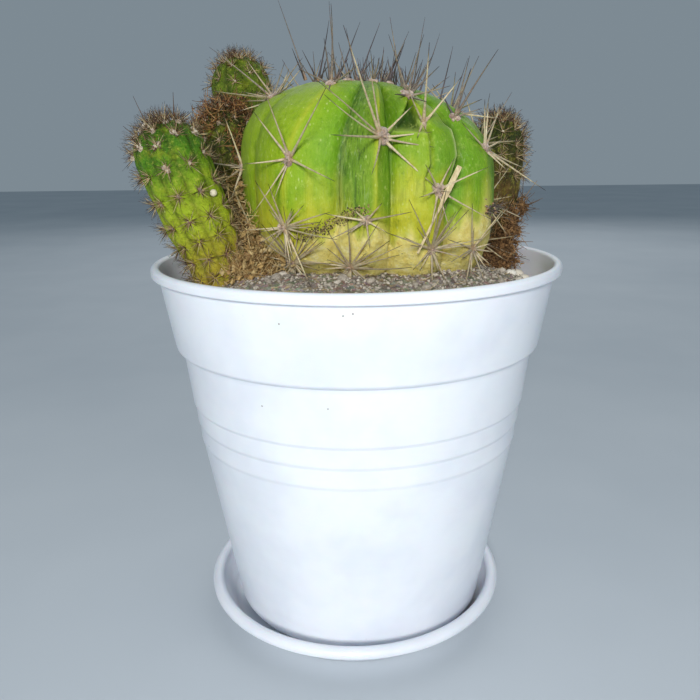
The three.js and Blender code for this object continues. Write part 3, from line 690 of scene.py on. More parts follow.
@dataclass(frozen=True)
class ColumnSkin(Finish):
    """Skin of a column: dark at the top, paler and yellower towards its old foot."""

    streak: str = "2A4616"
    cloud_scale: float = 240
    pale_cloud: Tint = Tint("A8AE24", 0.5, 0.72, 0.4)
    mottle_scale: float = 800
    mottles: tuple[Tint, ...] = (Tint("C2BE50", 0.5, 0.7, 0.55), Tint("4A3A12", 0.5, 0.3, 0.65))
    streak_scale: float = 30
    streaks: Tint = Tint("B0BC30", 0.55, 0.7, 0.3)
    fleck_scale: float = 900
    flecks: Tint = Tint("C8C860", 0.16, 0.05, 0.3)
    scurf: Stops = ((0.3, "4A2A12"), (0.5, "8A5E2E"), (0.7, "B98F57"))
    scurf_edge: Pair = (0.35, 0.55)
    wrinkle_depth: float = 0.5
    streak_depth: float = 0.3
    grain_depth: float = 0.16

    def built(self, tree: Tree) -> Material:
        """Build the material in its node tree."""
        place = tree.place()
        clouds = tree.noise(place, self.cloud_scale, 6, 0.65)
        colour = tree.tinted(tree.tone("tone"), clouds, self.pale_cloud, Tint(self.streak, 0.5, 0.25, 0.5))
        colour = tree.tinted(colour, tree.noise(place, self.mottle_scale, 7, 0.75), *self.mottles)
        streaks = tree.noise(tree.place((10, 1, 1), "UV"), self.streak_scale, 6, 0.7)
        colour = tree.tinted(colour, streaks, self.streaks)
        colour = tree.tinted(colour, tree.cells(place, self.fleck_scale), self.flecks)
        scurf = tree.ramp(tree.noise(place, 700, 8, 0.75), *self.scurf)
        scurfy = tree.maths("MULTIPLY", tree.value("old"), tree.share(clouds, *self.scurf_edge))
        colour = tree.mix(scurfy, colour, scurf)
        normal = tree.bump(streaks, self.streak_depth)
        normal = tree.bump(tree.noise(tree.place((1, 1, 4)), 240, 4), self.wrinkle_depth, under=normal)
        normal = tree.bump(tree.noise(place, 1300, 6, 0.7), self.grain_depth, under=normal)
        return tree.done(
            colour, 0.55, normal, Specular_IOR_Level=0.25,
            Subsurface_Weight=0.1, Subsurface_Radius=(0.8, 1.0, 0.2), Subsurface_Scale=0.002,
        )


@dataclass(frozen=True)
class Spine(Finish):
    """Horny spines, cream when young and grey when old, with dark tips."""

    root: str = "B08A68"
    shaft: str = "D6C6A0"
    tip: str = "2E2424"
    grey: str = "52484A"
    stain: str = "8C6F50"
    grain_scale: float = 900
    grain_depth: float = 0.05

    def built(self, tree: Tree) -> Material:
        """Build the material in its node tree."""
        along = tree.value("along")
        grain = tree.noise(tree.place(), self.grain_scale, 4)
        young = tree.ramp(along, (0.0, self.root), (0.12, self.shaft), (0.74, self.shaft), (0.93, self.tip))
        old = tree.ramp(along, (0.0, self.root), (0.1, self.grey), (0.4, self.grey), (0.7, self.tip))
        colour = tree.mix(tree.value("shade"), young, old)
        colour = tree.mix(tree.share(grain, 0.55, 0.35, 0.4), colour, linear(self.stain), "MULTIPLY")
        normal = tree.bump(grain, self.grain_depth)
        return tree.done(colour, 0.45, normal, Subsurface_Weight=0.1, Subsurface_Scale=0.001)


@dataclass(frozen=True)
class Wool(Finish):
    """Felt of an areole: dull, speckled, matt."""

    light: str = "E6CDB4"
    dark: str = "7E543C"
    speckle_scale: float = 1500
    felt_scale: float = 3200
    felt_depth: float = 0.25

    def built(self, tree: Tree) -> Material:
        """Build the material in its node tree."""
        place = tree.place()
        speckle = tree.noise(place, self.speckle_scale, 6, 0.75)
        colour = tree.ramp(speckle, (0.32, self.dark), (0.62, self.light))
        colour = tree.mix(tree.value("shade"), colour, linear(self.dark), "MULTIPLY")
        normal = tree.bump(tree.noise(place, self.felt_scale, 5, 0.8), self.felt_depth)
        return tree.done(colour, 0.95, normal, Sheen_Weight=0.5, Sheen_Roughness=0.6)


@dataclass(frozen=True)
class Crumbs(Finish):
    """Loose stuff in mixed shades: soil, grains, pebbles, bark and scurf."""

    shades: tuple[str, ...] = ("5A5247", "9A8F82", "B8AE9F", "D2C8B9", "837260")
    bump_depth: float = 0.3
    speck_scale: float = 1700

    def built(self, tree: Tree) -> Material:
        """Build the material in its node tree."""
        stops = [(k / (len(self.shades) - 1), code) for k, code in enumerate(self.shades)]
        own = tree.ramp(tree.value("shade"), *stops)
        specks = tree.noise(tree.place(), self.speck_scale, 8, 0.8)
        light, dark = Tint(self.shades[-2], 0.4, 0.7, 0.45), Tint(self.shades[0], 0.5, 0.32, 0.7)
        return tree.done(tree.tinted(own, specks, light, dark), 0.92, tree.bump(specks, self.bump_depth))


@dataclass(frozen=True)
class SoilBase(Finish):
    """The ground between the grains: grey-beige dust, with dark patches painted as shade in the gaps."""

    # The darkest stop of this ramp is painted shade in the gaps between grains; the rest is the dust's own
    # colour.
    dust: Stops = ((0.3, "4A4238"), (0.44, "948979"), (0.58, "BCB2A3"), (0.75, "D2C9BA"))
    chips: str = "C9BFAF"
    dust_scale: float = 260
    chip_scale: float = 900
    grain_depth: float = 0.6
    chip_depth: float = 0.5

    def built(self, tree: Tree) -> Material:
        """Build the material in its node tree."""
        place = tree.place()
        colour = tree.ramp(tree.noise(place, self.dust_scale, 9, 0.75), *self.dust)
        chips = tree.mix(1.0, tree.cells(place, self.chip_scale, "Color"), linear(self.chips), "MULTIPLY")
        colour = tree.mix(0.35, colour, chips, "OVERLAY")
        normal = tree.bump(tree.cells(place, self.chip_scale), self.chip_depth)
        normal = tree.bump(tree.noise(place, 1400, 8, 0.8), self.grain_depth, under=normal)
        return tree.done(colour, 0.97, normal)


@dataclass(frozen=True)
class Straw(Finish):
    """A dry blade: straw-coloured with lengthwise fibres."""

    light: str = "D9C59A"
    dark: str = "9B7F52"
    fibre_stretch: Triple = (900, 900, 60)
    fibre_depth: float = 0.15

    def built(self, tree: Tree) -> Material:
        """Build the material in its node tree."""
        fibres = tree.noise(tree.place(self.fibre_stretch), 1, 6, 0.7)
        colour = tree.ramp(fibres, (0.3, self.dark), (0.6, self.light))
        return tree.done(colour, 0.7, tree.bump(fibres, self.fibre_depth))


# ---- pot and saucer


PLASTIC = Plastic("white_plastic_satin")
HORN = Spine("horn")
BROWN_HORN = Spine("brown_horn", "8A5A34", "CBB488", "24160E", "4A2E1C")


@dataclass(frozen=True)
class Saucer:
    """The shallow round tray with a rolled lip, a little off the pot's axis."""

    x: float = -1.36
    y: float = -1.07
    base_radius: float = 36
    floor: float = 1.4
    height: float = 10
    lip_radius: float = 45.6
    bead: float = 1.8
    sides: int = 160

    def profile(self) -> Profile:
        """Outline from the middle of the underside over the lip to the middle of the floor.

        Returns:
            Its points as [radius, height].
        """
        bead_middle = (self.lip_radius - self.bead, self.height - self.bead)
        return [
            (1, 0), (self.base_radius - 1.2, 0),
            *arc((self.base_radius, 2.2), 2.2, -90, -35, 5),
            (41.0, 4.6), (42.5, 7.0), (43.0, 7.6),
            *arc(bead_middle, self.bead, -20, 182, 16),
            (41.4, 6.9), (40.6, 5.0), (39.6, 3.3),
            *arc((self.base_radius + 1.2, self.floor + 2.0), 2.0, -20, -90, 5),
            (24, self.floor), (23.4, self.floor + 0.35), (22.6, self.floor + 0.35), (22, self.floor),
            (1, self.floor),
        ]

    def build(self) -> list[Object]:
        """Turn the saucer."""
        piece = turned("saucer_tray", self.profile(), self.sides, self.x, self.y)
        smooth(piece, EDGE_ANGLE)
        return [finished(piece, PLASTIC, "white_plastic", "saucer")]


@dataclass(frozen=True)
class Pot:
    """The thin pot: foot ring, tapering wall with three small steps, collar and rounded lip."""

    seat: float = 1.7
    wall: float = 1.2
    foot_radius: float = 34.5
    foot_width: float = 3
    foot_height: float = 1.5
    floor_thickness: float = 1.4
    corner_radius: float = 38.4
    corner_height: float = 5.4
    ring_heights: tuple[float, ...] = (57.0, 62.7, 68.5)
    ring_below: tuple[float, ...] = (46.9, 47.5, 48.3)
    ring_above: tuple[float, ...] = (47.3, 48.0, 48.9)
    ring_height: float = 0.6
    collar_foot: float = 84.5
    under_collar: float = 50.5
    collar_foot_radius: float = 52.4
    collar_top_radius: float = 55.6
    lip_foot: float = 105.2
    lip_radius: float = 57.6
    lip_round: float = 1.2
    height: float = 108
    drain_holes: int = 4
    drain_radius: float = 1.9
    drain_circle: float = 22
    drill_depth: float = 12
    sides: int = 192
    # Specks of dirt on the collar and the wall, by their place in the photograph.
    specks: tuple[Pair, ...] = ((343, 316), (353, 314), (328, 409), (279, 324), (262, 406))
    speck_size: Pair = (0.13, 0.22)
    speck_height: float = 0.1
    dust: Finish = Crumbs("dust", ("8C867C", "A8A298", "BEB8AE", "CCC8BE", "9A948A"), 0.05)

    @property
    def floor(self) -> float:
        """Height of the floor's upper side."""
        return self.seat + self.foot_height + self.floor_thickness

    def outside(self) -> Profile:
        """The outer wall from the foot ring up to the lip.

        Returns:
            Its points as [radius, height].
        """
        wall = [
            (self.foot_radius, self.seat),
            *arc((self.corner_radius - 2.6, self.corner_height), 2.6, -65, 0, 6),
        ]
        for height, below, above in zip(self.ring_heights, self.ring_below, self.ring_above):
            top = height + self.ring_height
            wall += [
                (below - 0.02, height - 0.5), (below + 0.03, height - 0.1),
                (above - 0.06, top - 0.15), (above, top + 0.15), (above + 0.03, top + 0.8),
            ]
        foot, under, top = self.collar_foot, self.under_collar, self.collar_top_radius
        return wall + [
            (under - 0.12, foot - 1.6), (under, foot - 0.5), (under + 0.25, foot - 0.08), (under + 0.7, foot),
            *arc((self.collar_foot_radius - 1.5, foot + 1.6), 1.55, -70, -5, 8),
            (self.collar_foot_radius + 0.35, foot + 3),
            (top - 0.05, self.lip_foot - 0.9), (top, self.lip_foot - 0.25),
            (top + 0.25, self.lip_foot), (self.lip_radius - 0.7, self.lip_foot + 0.05),
            *arc((self.lip_radius - 0.5, self.lip_foot + 0.6), 0.5, -70, -5, 4),
        ]

    def inside(self) -> Profile:
        """The inner wall from the lip down to the floor.

        Returns:
            Its points as [radius, height].
        """
        corner = self.corner_radius - self.wall
        return [
            (self.collar_top_radius - self.wall, self.lip_foot),
            (self.collar_foot_radius + 0.3 - self.wall, self.collar_foot + 2.4),
            (self.under_collar + 0.4 - self.wall, self.collar_foot + 0.6),
            (self.under_collar - self.wall, self.collar_foot - 0.8),
            (self.ring_below[2] - self.wall, self.ring_heights[2]),
            (self.ring_below[0] - self.wall, self.ring_heights[0]),
            (corner, self.floor + 2.4),
            *arc((corner - 2, self.floor + 2), 2, -15, -90, 5),
            (1, self.floor),
        ]

    def profile(self) -> Profile:
        """Outline from the middle of the underside round the wall to the middle of the floor.

        Returns:
            Its points as [radius, height].
        """
        under = self.seat + self.foot_height
        inner_foot = self.foot_radius - self.foot_width
        lip_middle = (self.lip_radius - self.lip_round, self.height - self.lip_round)
        return [
            (1, under), (inner_foot - 0.6, under),
            (inner_foot, self.seat + 0.3), (inner_foot + 0.3, self.seat),
            *self.outside(),
            *arc(lip_middle, self.lip_round, 0, 175, 12),
            *self.inside(),
        ]

    def drilled(self, piece: Object) -> None:
        """Cut the drain holes through the floor.

        Args:
            piece: the pot.
        """
        for k in range(self.drain_holes):
            angle = 2 * math.pi * (k + 0.5) / self.drain_holes
            x, y = self.drain_circle * math.cos(angle), self.drain_circle * math.sin(angle)
            place = Vector((x, y, self.seat)) * MM
            radius, depth = self.drain_radius * MM, self.drill_depth * MM
            bpy.ops.object.select_all(action="DESELECT")
            bpy.ops.mesh.primitive_cylinder_add(vertices=24, radius=radius, depth=depth, location=place)
            drill = added("drill")
            shaped_by(piece, "BOOLEAN", object=drill, operation="DIFFERENCE", solver="EXACT")
            bpy.data.objects.remove(drill)

    def dirt(self, wall: Object) -> Object:
        """Lay small crumbs of dirt on the outside, where the photograph shows them.

        Args:
            wall: the pot.

        Returns:
            The crumbs, as one piece.
        """
        surface = tree_of(wall)
        random = np.random.default_rng(4)
        crumbs = Copies()
        for pixel in self.specks:
            point, normal = VIEW.hit(surface, pixel)
            size = (random.uniform(*self.speck_size), self.speck_height)
            crumbs.add_cushion(point, normal, size, random.uniform(0, 6), 0.1)
        return finished(crumb_stamp(2, 0.5, 5).stamped("pot_specks", crumbs), self.dust, "soil")

    def build(self) -> list[Object]:
        """Turn the pot, drill it and dirty it."""
        piece = turned("pot_shell", self.profile(), self.sides)
        self.drilled(piece)
        smooth(piece, EDGE_ANGLE)
        return [finished(piece, PLASTIC, "white_plastic", "pot"), self.dirt(piece)]


# ---- the globe


@dataclass(frozen=True)
class Rib:
    """One rib of the globe: where it runs and how its skin is coloured.

    The angles run from the front towards the right. ripe and cork are the polar angles at which
    the green turns yellow and the yellow turns to cork. sharp is 0 for a round rib and 1 for one
    with flat flanks, and deep is how deep the groove after it is beside the others.
    """

    ridge: float
    groove: float
    lean: float
    areoles: tuple[float, ...]
    left: str = "64901E"
    middle: str = "7C9C22"
    right: str = "64901E"
    ripe: float = 101
    cork: float = 112
    flank: float = 0.25
    sharp: float = 0.15
    deep: float = 1


# The two ribs right of the front, by their index: the first has the leaf-shaped edge and the hollow.
LEAFY = 3
BESIDE = 4

RIBS = (
    Rib(-86, -63, 0, (40, 87, 113), "5A8018", "84A61E", "8FAA1C", 98, 105, deep=0.3),
    Rib(-37.5, -15.5, -12, (28, 84, 108, 134), "86A418", "96B41C", "72A414", 87, 106, 0.1, deep=1.0),
    Rib(2, 9, -4, (72, 100, 129), "5A8420", "82A41E", "5C9016", 90, 100, 1.0, sharp=0.85, deep=0.95),
    Rib(26, 40.5, 0, (36, 62, 90, 113), "7AA41A", "90AC1A", "86AE1C", 84, 107, 0.15, sharp=0.3),
    Rib(58, 79, 0, (53, 74, 113), "6E9E16", "72A018", "64940E", 89, 96, 0.2),
    Rib(100, 121, 3, (40, 68, 94, 116)),
    Rib(143, 164, 3, (34, 62, 90, 115)),
    Rib(186, 208, 2, (38, 66, 92, 116)),
    Rib(230, 252, 0, (35, 63, 90, 114)),
)


@dataclass(frozen=True)
class Band:
    """A stretch of polar angles: its share is 1 from full to fading and 0 outside start to end."""

    start: float
    full: float
    fading: float
    end: float

    def share(self, polar: Array) -> Array:
        """The band's share at polar angles."""
        return smoothstep(self.start, self.full, polar) * smoothstep(self.end, self.fading, polar)


@dataclass(frozen=True)
class Bump:
    """A rise or a tint along a rib: its height, its place across the rib and its width."""

    height: float
    middle: float
    width: float

    def at(self, across: Array) -> Array:
        """Its height at places across the rib."""
        return self.height * bell(across, self.middle, self.width)


@dataclass(frozen=True)
class GlobeForm:
    """The rounded, ribbed form of the globe, by angle from the front and polar angle.

    index says which rib a place is on, and across where: -1 in the groove before it, 0 on its
    ridge and 1 in the groove after it.
    """

    x: float = 3.2
    y: float = 3
    lean_foot: float = 103
    lean_height: float = 53
    lean_reach: float = 2.1
    equator: float = 129.5
    half_width: float = 36.2
    half_depth: float = 34
    lower_height: float = 29.5
    upper_height: float = 26
    left_shoulder: float = 1.2
    right_shoulder: float = 4.2
    crown_dip: float = 3
    # How square the outline is: in the middle, and what the left and the right add.
    upper_fullness: Triple = (2.7, 0.1, -0.3)
    lower_fullness: Triple = (2.96, 0.35, 0.75)
    groove_depth: float = 4.2
    groove_line: Bump = Bump(0.8, 1, 0.1)
    notch: Bump = Bump(0.5, 0, 0.14)
    chin: Bump = Bump(0.3, 0, 0.3)
    pinch_depth: float = 2.4
    pinch_band: Band = Band(26, 36, 60, 72)
    ribs: tuple[Rib, ...] = RIBS
    # How far the groove after the leafy rib swings aside, by polar angle: its edge is leaf-shaped.
    leaf_edge: tuple[Pair, ...] = (
        (25, 0), (36, 4), (49, 6), (67, 3.8), (79, 2.4), (86, -2), (92, -4.5), (110, -4), (130, 0),
    )
    leaf_band: Band = Band(57, 64, 87, 93)
    leaf_lobes: tuple[Bump, ...] = (Bump(1, 0.4, 0.25), Bump(1.9, 0.8, 0.24))
    crease_cut: Bump = Bump(2.4, 0, 0.06)
    crease_lip: Bump = Bump(0.6, -0.14, 0.1)
    lower_lobe: Bump = Bump(0.7, -0.3, 0.2)
    lower_band: Band = Band(61, 68, 88, 104)
    hollow_depth: float = 3.2
    pleat_depth: float = 0.5
    gap: Bump = Bump(1.3, -0.95, 0.1)
    gap_band: Band = Band(52, 60, 86, 92)

    @staticmethod
    def hollow(index: Array, across: Array, polar: Array) -> Array:
        """Share of the three-cornered hollow above the leafy rib's main lobe."""
        under_flank = smoothstep(-2, 3, polar - 66 + 35 * (across + 0.85))
        return (index == LEAFY) * under_flank * smoothstep(68, 65.5, polar) * smoothstep(-0.02, -0.14, across)

    @staticmethod
    def crease(across: Array, polar: Array) -> Array:
        """How far a place lies right of the crease that splits the leafy rib."""
        return across - np.interp(polar, (60, 84, 91), (0.03, 0, -0.22))

    def of_rib(self, name: str, index: Array, read: Callable[[object], object] = float) -> Array:
        """A field of the rib that each place is on."""
        return np.array([read(getattr(rib, name)) for rib in self.ribs])[index]

    def rib_angle(self, index: Array, across: Array, polar: Array) -> Array:
        """Turn places on ribs into angles from the front.

        Args:
            index: the ribs.
            across: the places across them.
            polar: the polar angles.

        Returns:
            The angles.
        """
        ridge, lean = self.of_rib("ridge", index), self.of_rib("lean", index)
        before = self.of_rib("groove", index - 1) - np.where(index == 0, 360, 0)
        half = np.where(across < 0, ridge - before, self.of_rib("groove", index) - ridge)
        neighbour = np.where(across < 0, index - 1, (index + 1) % len(self.ribs))
        lean = lean + np.abs(across) / 2 * (self.of_rib("lean", neighbour) - lean)
        leaf = np.maximum(0, np.where(index == LEAFY, across, np.where(index == BESIDE, -across, 0)))
        swing = leaf * np.interp(polar, *zip(*self.leaf_edge))
        return ridge + across * half + lean * (polar - 85) / 45 + swing

    def sunk(self, index: Array, across: Array, polar: Array) -> Array:
        """Work out how deep the skin lies below the smooth form: grooves, folds and notches at areoles.

        Args:
            index: the ribs.
            across: the places across them.
            polar: the polar angles.

        Returns:
            The depths.
        """
        a = np.abs(across)
        sharp, deep = self.of_rib("sharp", index), self.of_rib("deep", np.where(across < 0, index - 1, index))
        depth = self.groove_depth * deep * (sharp * a + (1 - sharp) * (0.12 * a + 0.38 * a**2 + 0.5 * a**4))
        depth += deep * self.groove_line.at(a) * smoothstep(8, 25, polar)
        for k, rib in enumerate(self.ribs):
            for areole in rib.areoles:
                depth += (index == k) * bell(polar, areole, 3) * self.notch.at(across)
                depth -= (index == k) * bell(polar, areole + 9, 6) * self.chin.at(across)
        narrow = ((index == 2) & (across > 0)) | ((index == LEAFY) & (across < 0))
        depth += narrow * self.pinch_depth * self.pinch_band.share(polar) * smoothstep(0.55, 1, a)
        return depth + self.folds(index, across, polar)

    def folds(self, index: Array, across: Array, polar: Array) -> Array:
        """Work out the creases that split the leafy rib into lobes, one of them overhanging.

        Args:
            index: the ribs.
            across: the places across them.
            polar: the polar angles.

        Returns:
            Their depths.
        """
        here = index == LEAFY
        leaf = here * self.leaf_band.share(polar)
        beside = self.crease(across, polar)
        lobes = leaf * (sum(lobe.at(across) for lobe in self.leaf_lobes) + self.crease_lip.at(beside))
        lobes += here * self.lower_band.share(polar) * self.lower_lobe.at(across)
        hollow = self.hollow_depth * self.hollow(index, across, polar)
        pleat = self.pleat_depth * here * bell(polar, 91 - 3 * across, 1.4) * smoothstep(0, -0.2, across)
        gap = (index == BESIDE) * self.gap.at(across) * self.gap_band.share(polar)
        return leaf * self.crease_cut.at(beside) - lobes + hollow + pleat + gap

    def points(self, angle: Array, polar: Array, sunk: Array | float = 0) -> Array:
        """Place points of the skin.

        Args:
            angle: their angles from the front.
            polar: their polar angles.
            sunk: how deep they lie below the smooth form.

        Returns:
            The points.
        """
        side, front = np.sin(np.radians(angle)), np.cos(np.radians(angle))
        right, left = np.maximum(side, 0), np.maximum(-side, 0)
        sine, cosine = np.sin(np.radians(polar)), np.cos(np.radians(polar))
        above = cosine >= 0
        upper = self.upper_height + sine * (self.left_shoulder * left - self.right_shoulder * right**1.2)
        sides = np.array([np.ones_like(left), left, right])
        fullness = np.tensordot((self.upper_fullness, self.lower_fullness), sides, 1)
        full = np.where(above, *fullness)
        reach = np.maximum(sine, 0) ** (2 / full)
        rise = np.abs(cosine) ** (2 / full)
        dip = np.where(above, self.crown_dip * (1 - smoothstep(0, 0.4, reach)), 0)
        outline = 1 / np.hypot(side / self.half_width, front / self.half_depth)
        radius = np.maximum(0, reach * outline - sunk * np.minimum(1, 1.6 * sine))
        z = self.equator + np.where(above, upper, -self.lower_height) * rise - dip
        middle = self.x + self.lean_reach * (1 - (z - self.lean_foot) / self.lean_height)
        return np.stack([middle + radius * side, self.y - radius * front, z], axis=-1)


@dataclass(frozen=True)
class SeenAreole:
    """An areole that the photograph shows: its pixel, the size of its cushion and its spines.

    Each spine is [clock angle in the picture, length]. stand is how far the spines stand off the
    skin, from 0 along it to 1 straight out, and shade is 0 for cream spines and 1 for grey ones.
    extra is how many more there are in the thick of them.
    """

    pixel: Pair
    cushion: float
    spines: tuple[Pair, ...]
    stand: float = 0.42
    shade: float = 0.15
    extra: int = 0


SEEN_AREOLES = (
    SeenAreole((272, 97), 1.5, ((-42, 33), (12, 12), (42, 12), (247.5, 14), (92, 6.5), (-70, 9)),
        shade=0.55),
    SeenAreole((241, 167), 1.3, ((-17.6, 12), (-67, 22), (257, 11), (199, 11), (60, 7))),
    SeenAreole((252, 230), 1.1, ((-20, 9), (-44, 8.5), (-84, 5), (220, 7), (110, 8))),
    SeenAreole((331, 83), 1.7, ((-72, 8), (-1, 27), (-8, 15), (28, 8.5), (75, 7), (185, 4)),
        stand=0.5, shade=0.85),
    SeenAreole((289, 159), 1.5, ((-21, 14.2), (46.5, 13.4), (129, 14.5), (216, 16.5), (202, 10.8),
        (266, 11), (-40, 12))),
    SeenAreole((284, 228), 1.2, ((-18, 8.3), (-43, 5), (156, 17), (116, 15.3), (224, 10), (58, 6.5),
        (90, 12)), extra=12),
    SeenAreole((293, 263), 1.2, ((259, 13), (215, 9.5), (242, 5.3), (172, 8), (117, 8.3), (-53, 9.6),
        (-41, 9.5), (-37, 7), (71, 9.3), (150, 9)), stand=0.5, shade=0.3, extra=20),
    SeenAreole((382, 137), 1.9, ((-31, 16.2), (-73, 15), (-79, 12.7), (-15, 12), (43, 11.4), (82, 12),
        (99, 12.4), (130, 17), (191, 13.5), (243, 12.3))),
    SeenAreole((366, 221), 1.1, ((-82, 9.6), (235, 5.5), (126, 6), (90, 10), (50, 4.5), (173, 6.5),
        (-52, 3.5), (243, 9))),
    SeenAreole((350, 268), 1.2, ((232, 9.5), (180, 7), (135, 8.6), (101, 14), (77, 12), (65, 10), (-83, 13),
        (-58, 6.5)), stand=0.5, shade=0.3, extra=16),
    SeenAreole((408, 95), 1.7, ((-17, 6.6), (-12, 20), (14, 21), (42, 12), (85, 9.5), (144, 6), (-120, 4),
        (-10, 9), (20, 11), (28, 15)), stand=0.4, shade=0.75),
    SeenAreole((424, 124), 1.3, ((-2.5, 11.5), (43, 12), (-45, 7.3), (200, 5))),
    SeenAreole((439, 190), 1.5, ((27, 7), (66, 13), (116, 15), (193, 13.8), (164, 10), (237, 6),
        (-47, 5.3))),
    SeenAreole((432, 250), 1.3, ((-86, 12), (209, 6), (177, 9.5), (153, 9.2), (104, 8.7), (45, 9.8),
        (35, 9), (-50, 5.7)), stand=0.5, shade=0.3, extra=14),
    SeenAreole((455, 117), 1.3, ((32, 22), (14, 16.7), (19, 13.8), (71, 7), (-30, 6)),
        stand=0.4, shade=0.8),
    SeenAreole((486, 149), 1.6, ((21, 14), (3, 11), (-6, 10.5), (54, 6.6), (104, 12.6), (117, 19.5),
        (136, 7.7), (-74, 8.5))),
    SeenAreole((473, 249), 1.2, ((98, 5.8), (142, 6.6), (158, 9.8), (45, 6.5), (36, 11.5), (225, 5)),
        stand=0.5, shade=0.3, extra=12),
)

# Spines of the crown that show over the shoulder, as the pixels of root and tip.
CROWN_SPINES = (
    ((306, 76), (278, 0)), ((305, 76), (292, 48)), ((317, 76), (302, 50)), ((318, 77), (329, 20)),
    ((336, 76), (329, 1)), ((321, 76), (328, 52)), ((338, 76), (360, 22)), ((357, 76), (346, 28)),
    ((358, 78), (380, 23)), ((403, 88), (390, 17)), ((384, 84), (405, 42)), ((383, 82), (409, 31)),
    ((412, 92), (425, 17)), ((418, 92), (440, 33)), ((372, 82), (374, 55)), ((376, 82), (384, 50)),
    ((438, 104), (453, 46)), ((449, 112), (468, 58)), ((455, 112), (471, 68)), ((352, 78), (346, 60)),
    ((362, 78), (368, 56)), ((392, 84), (397, 60)),
)


class Plant:
    """A plant that gathers its spines and wool by a seeded rule before they are stamped."""

    seed: int

    def __post_init__(self) -> None:
        """Start with nothing gathered and a fresh random stream."""
        self.random = np.random.default_rng(self.seed)
        self.spines, self.wool = Copies(), Copies()


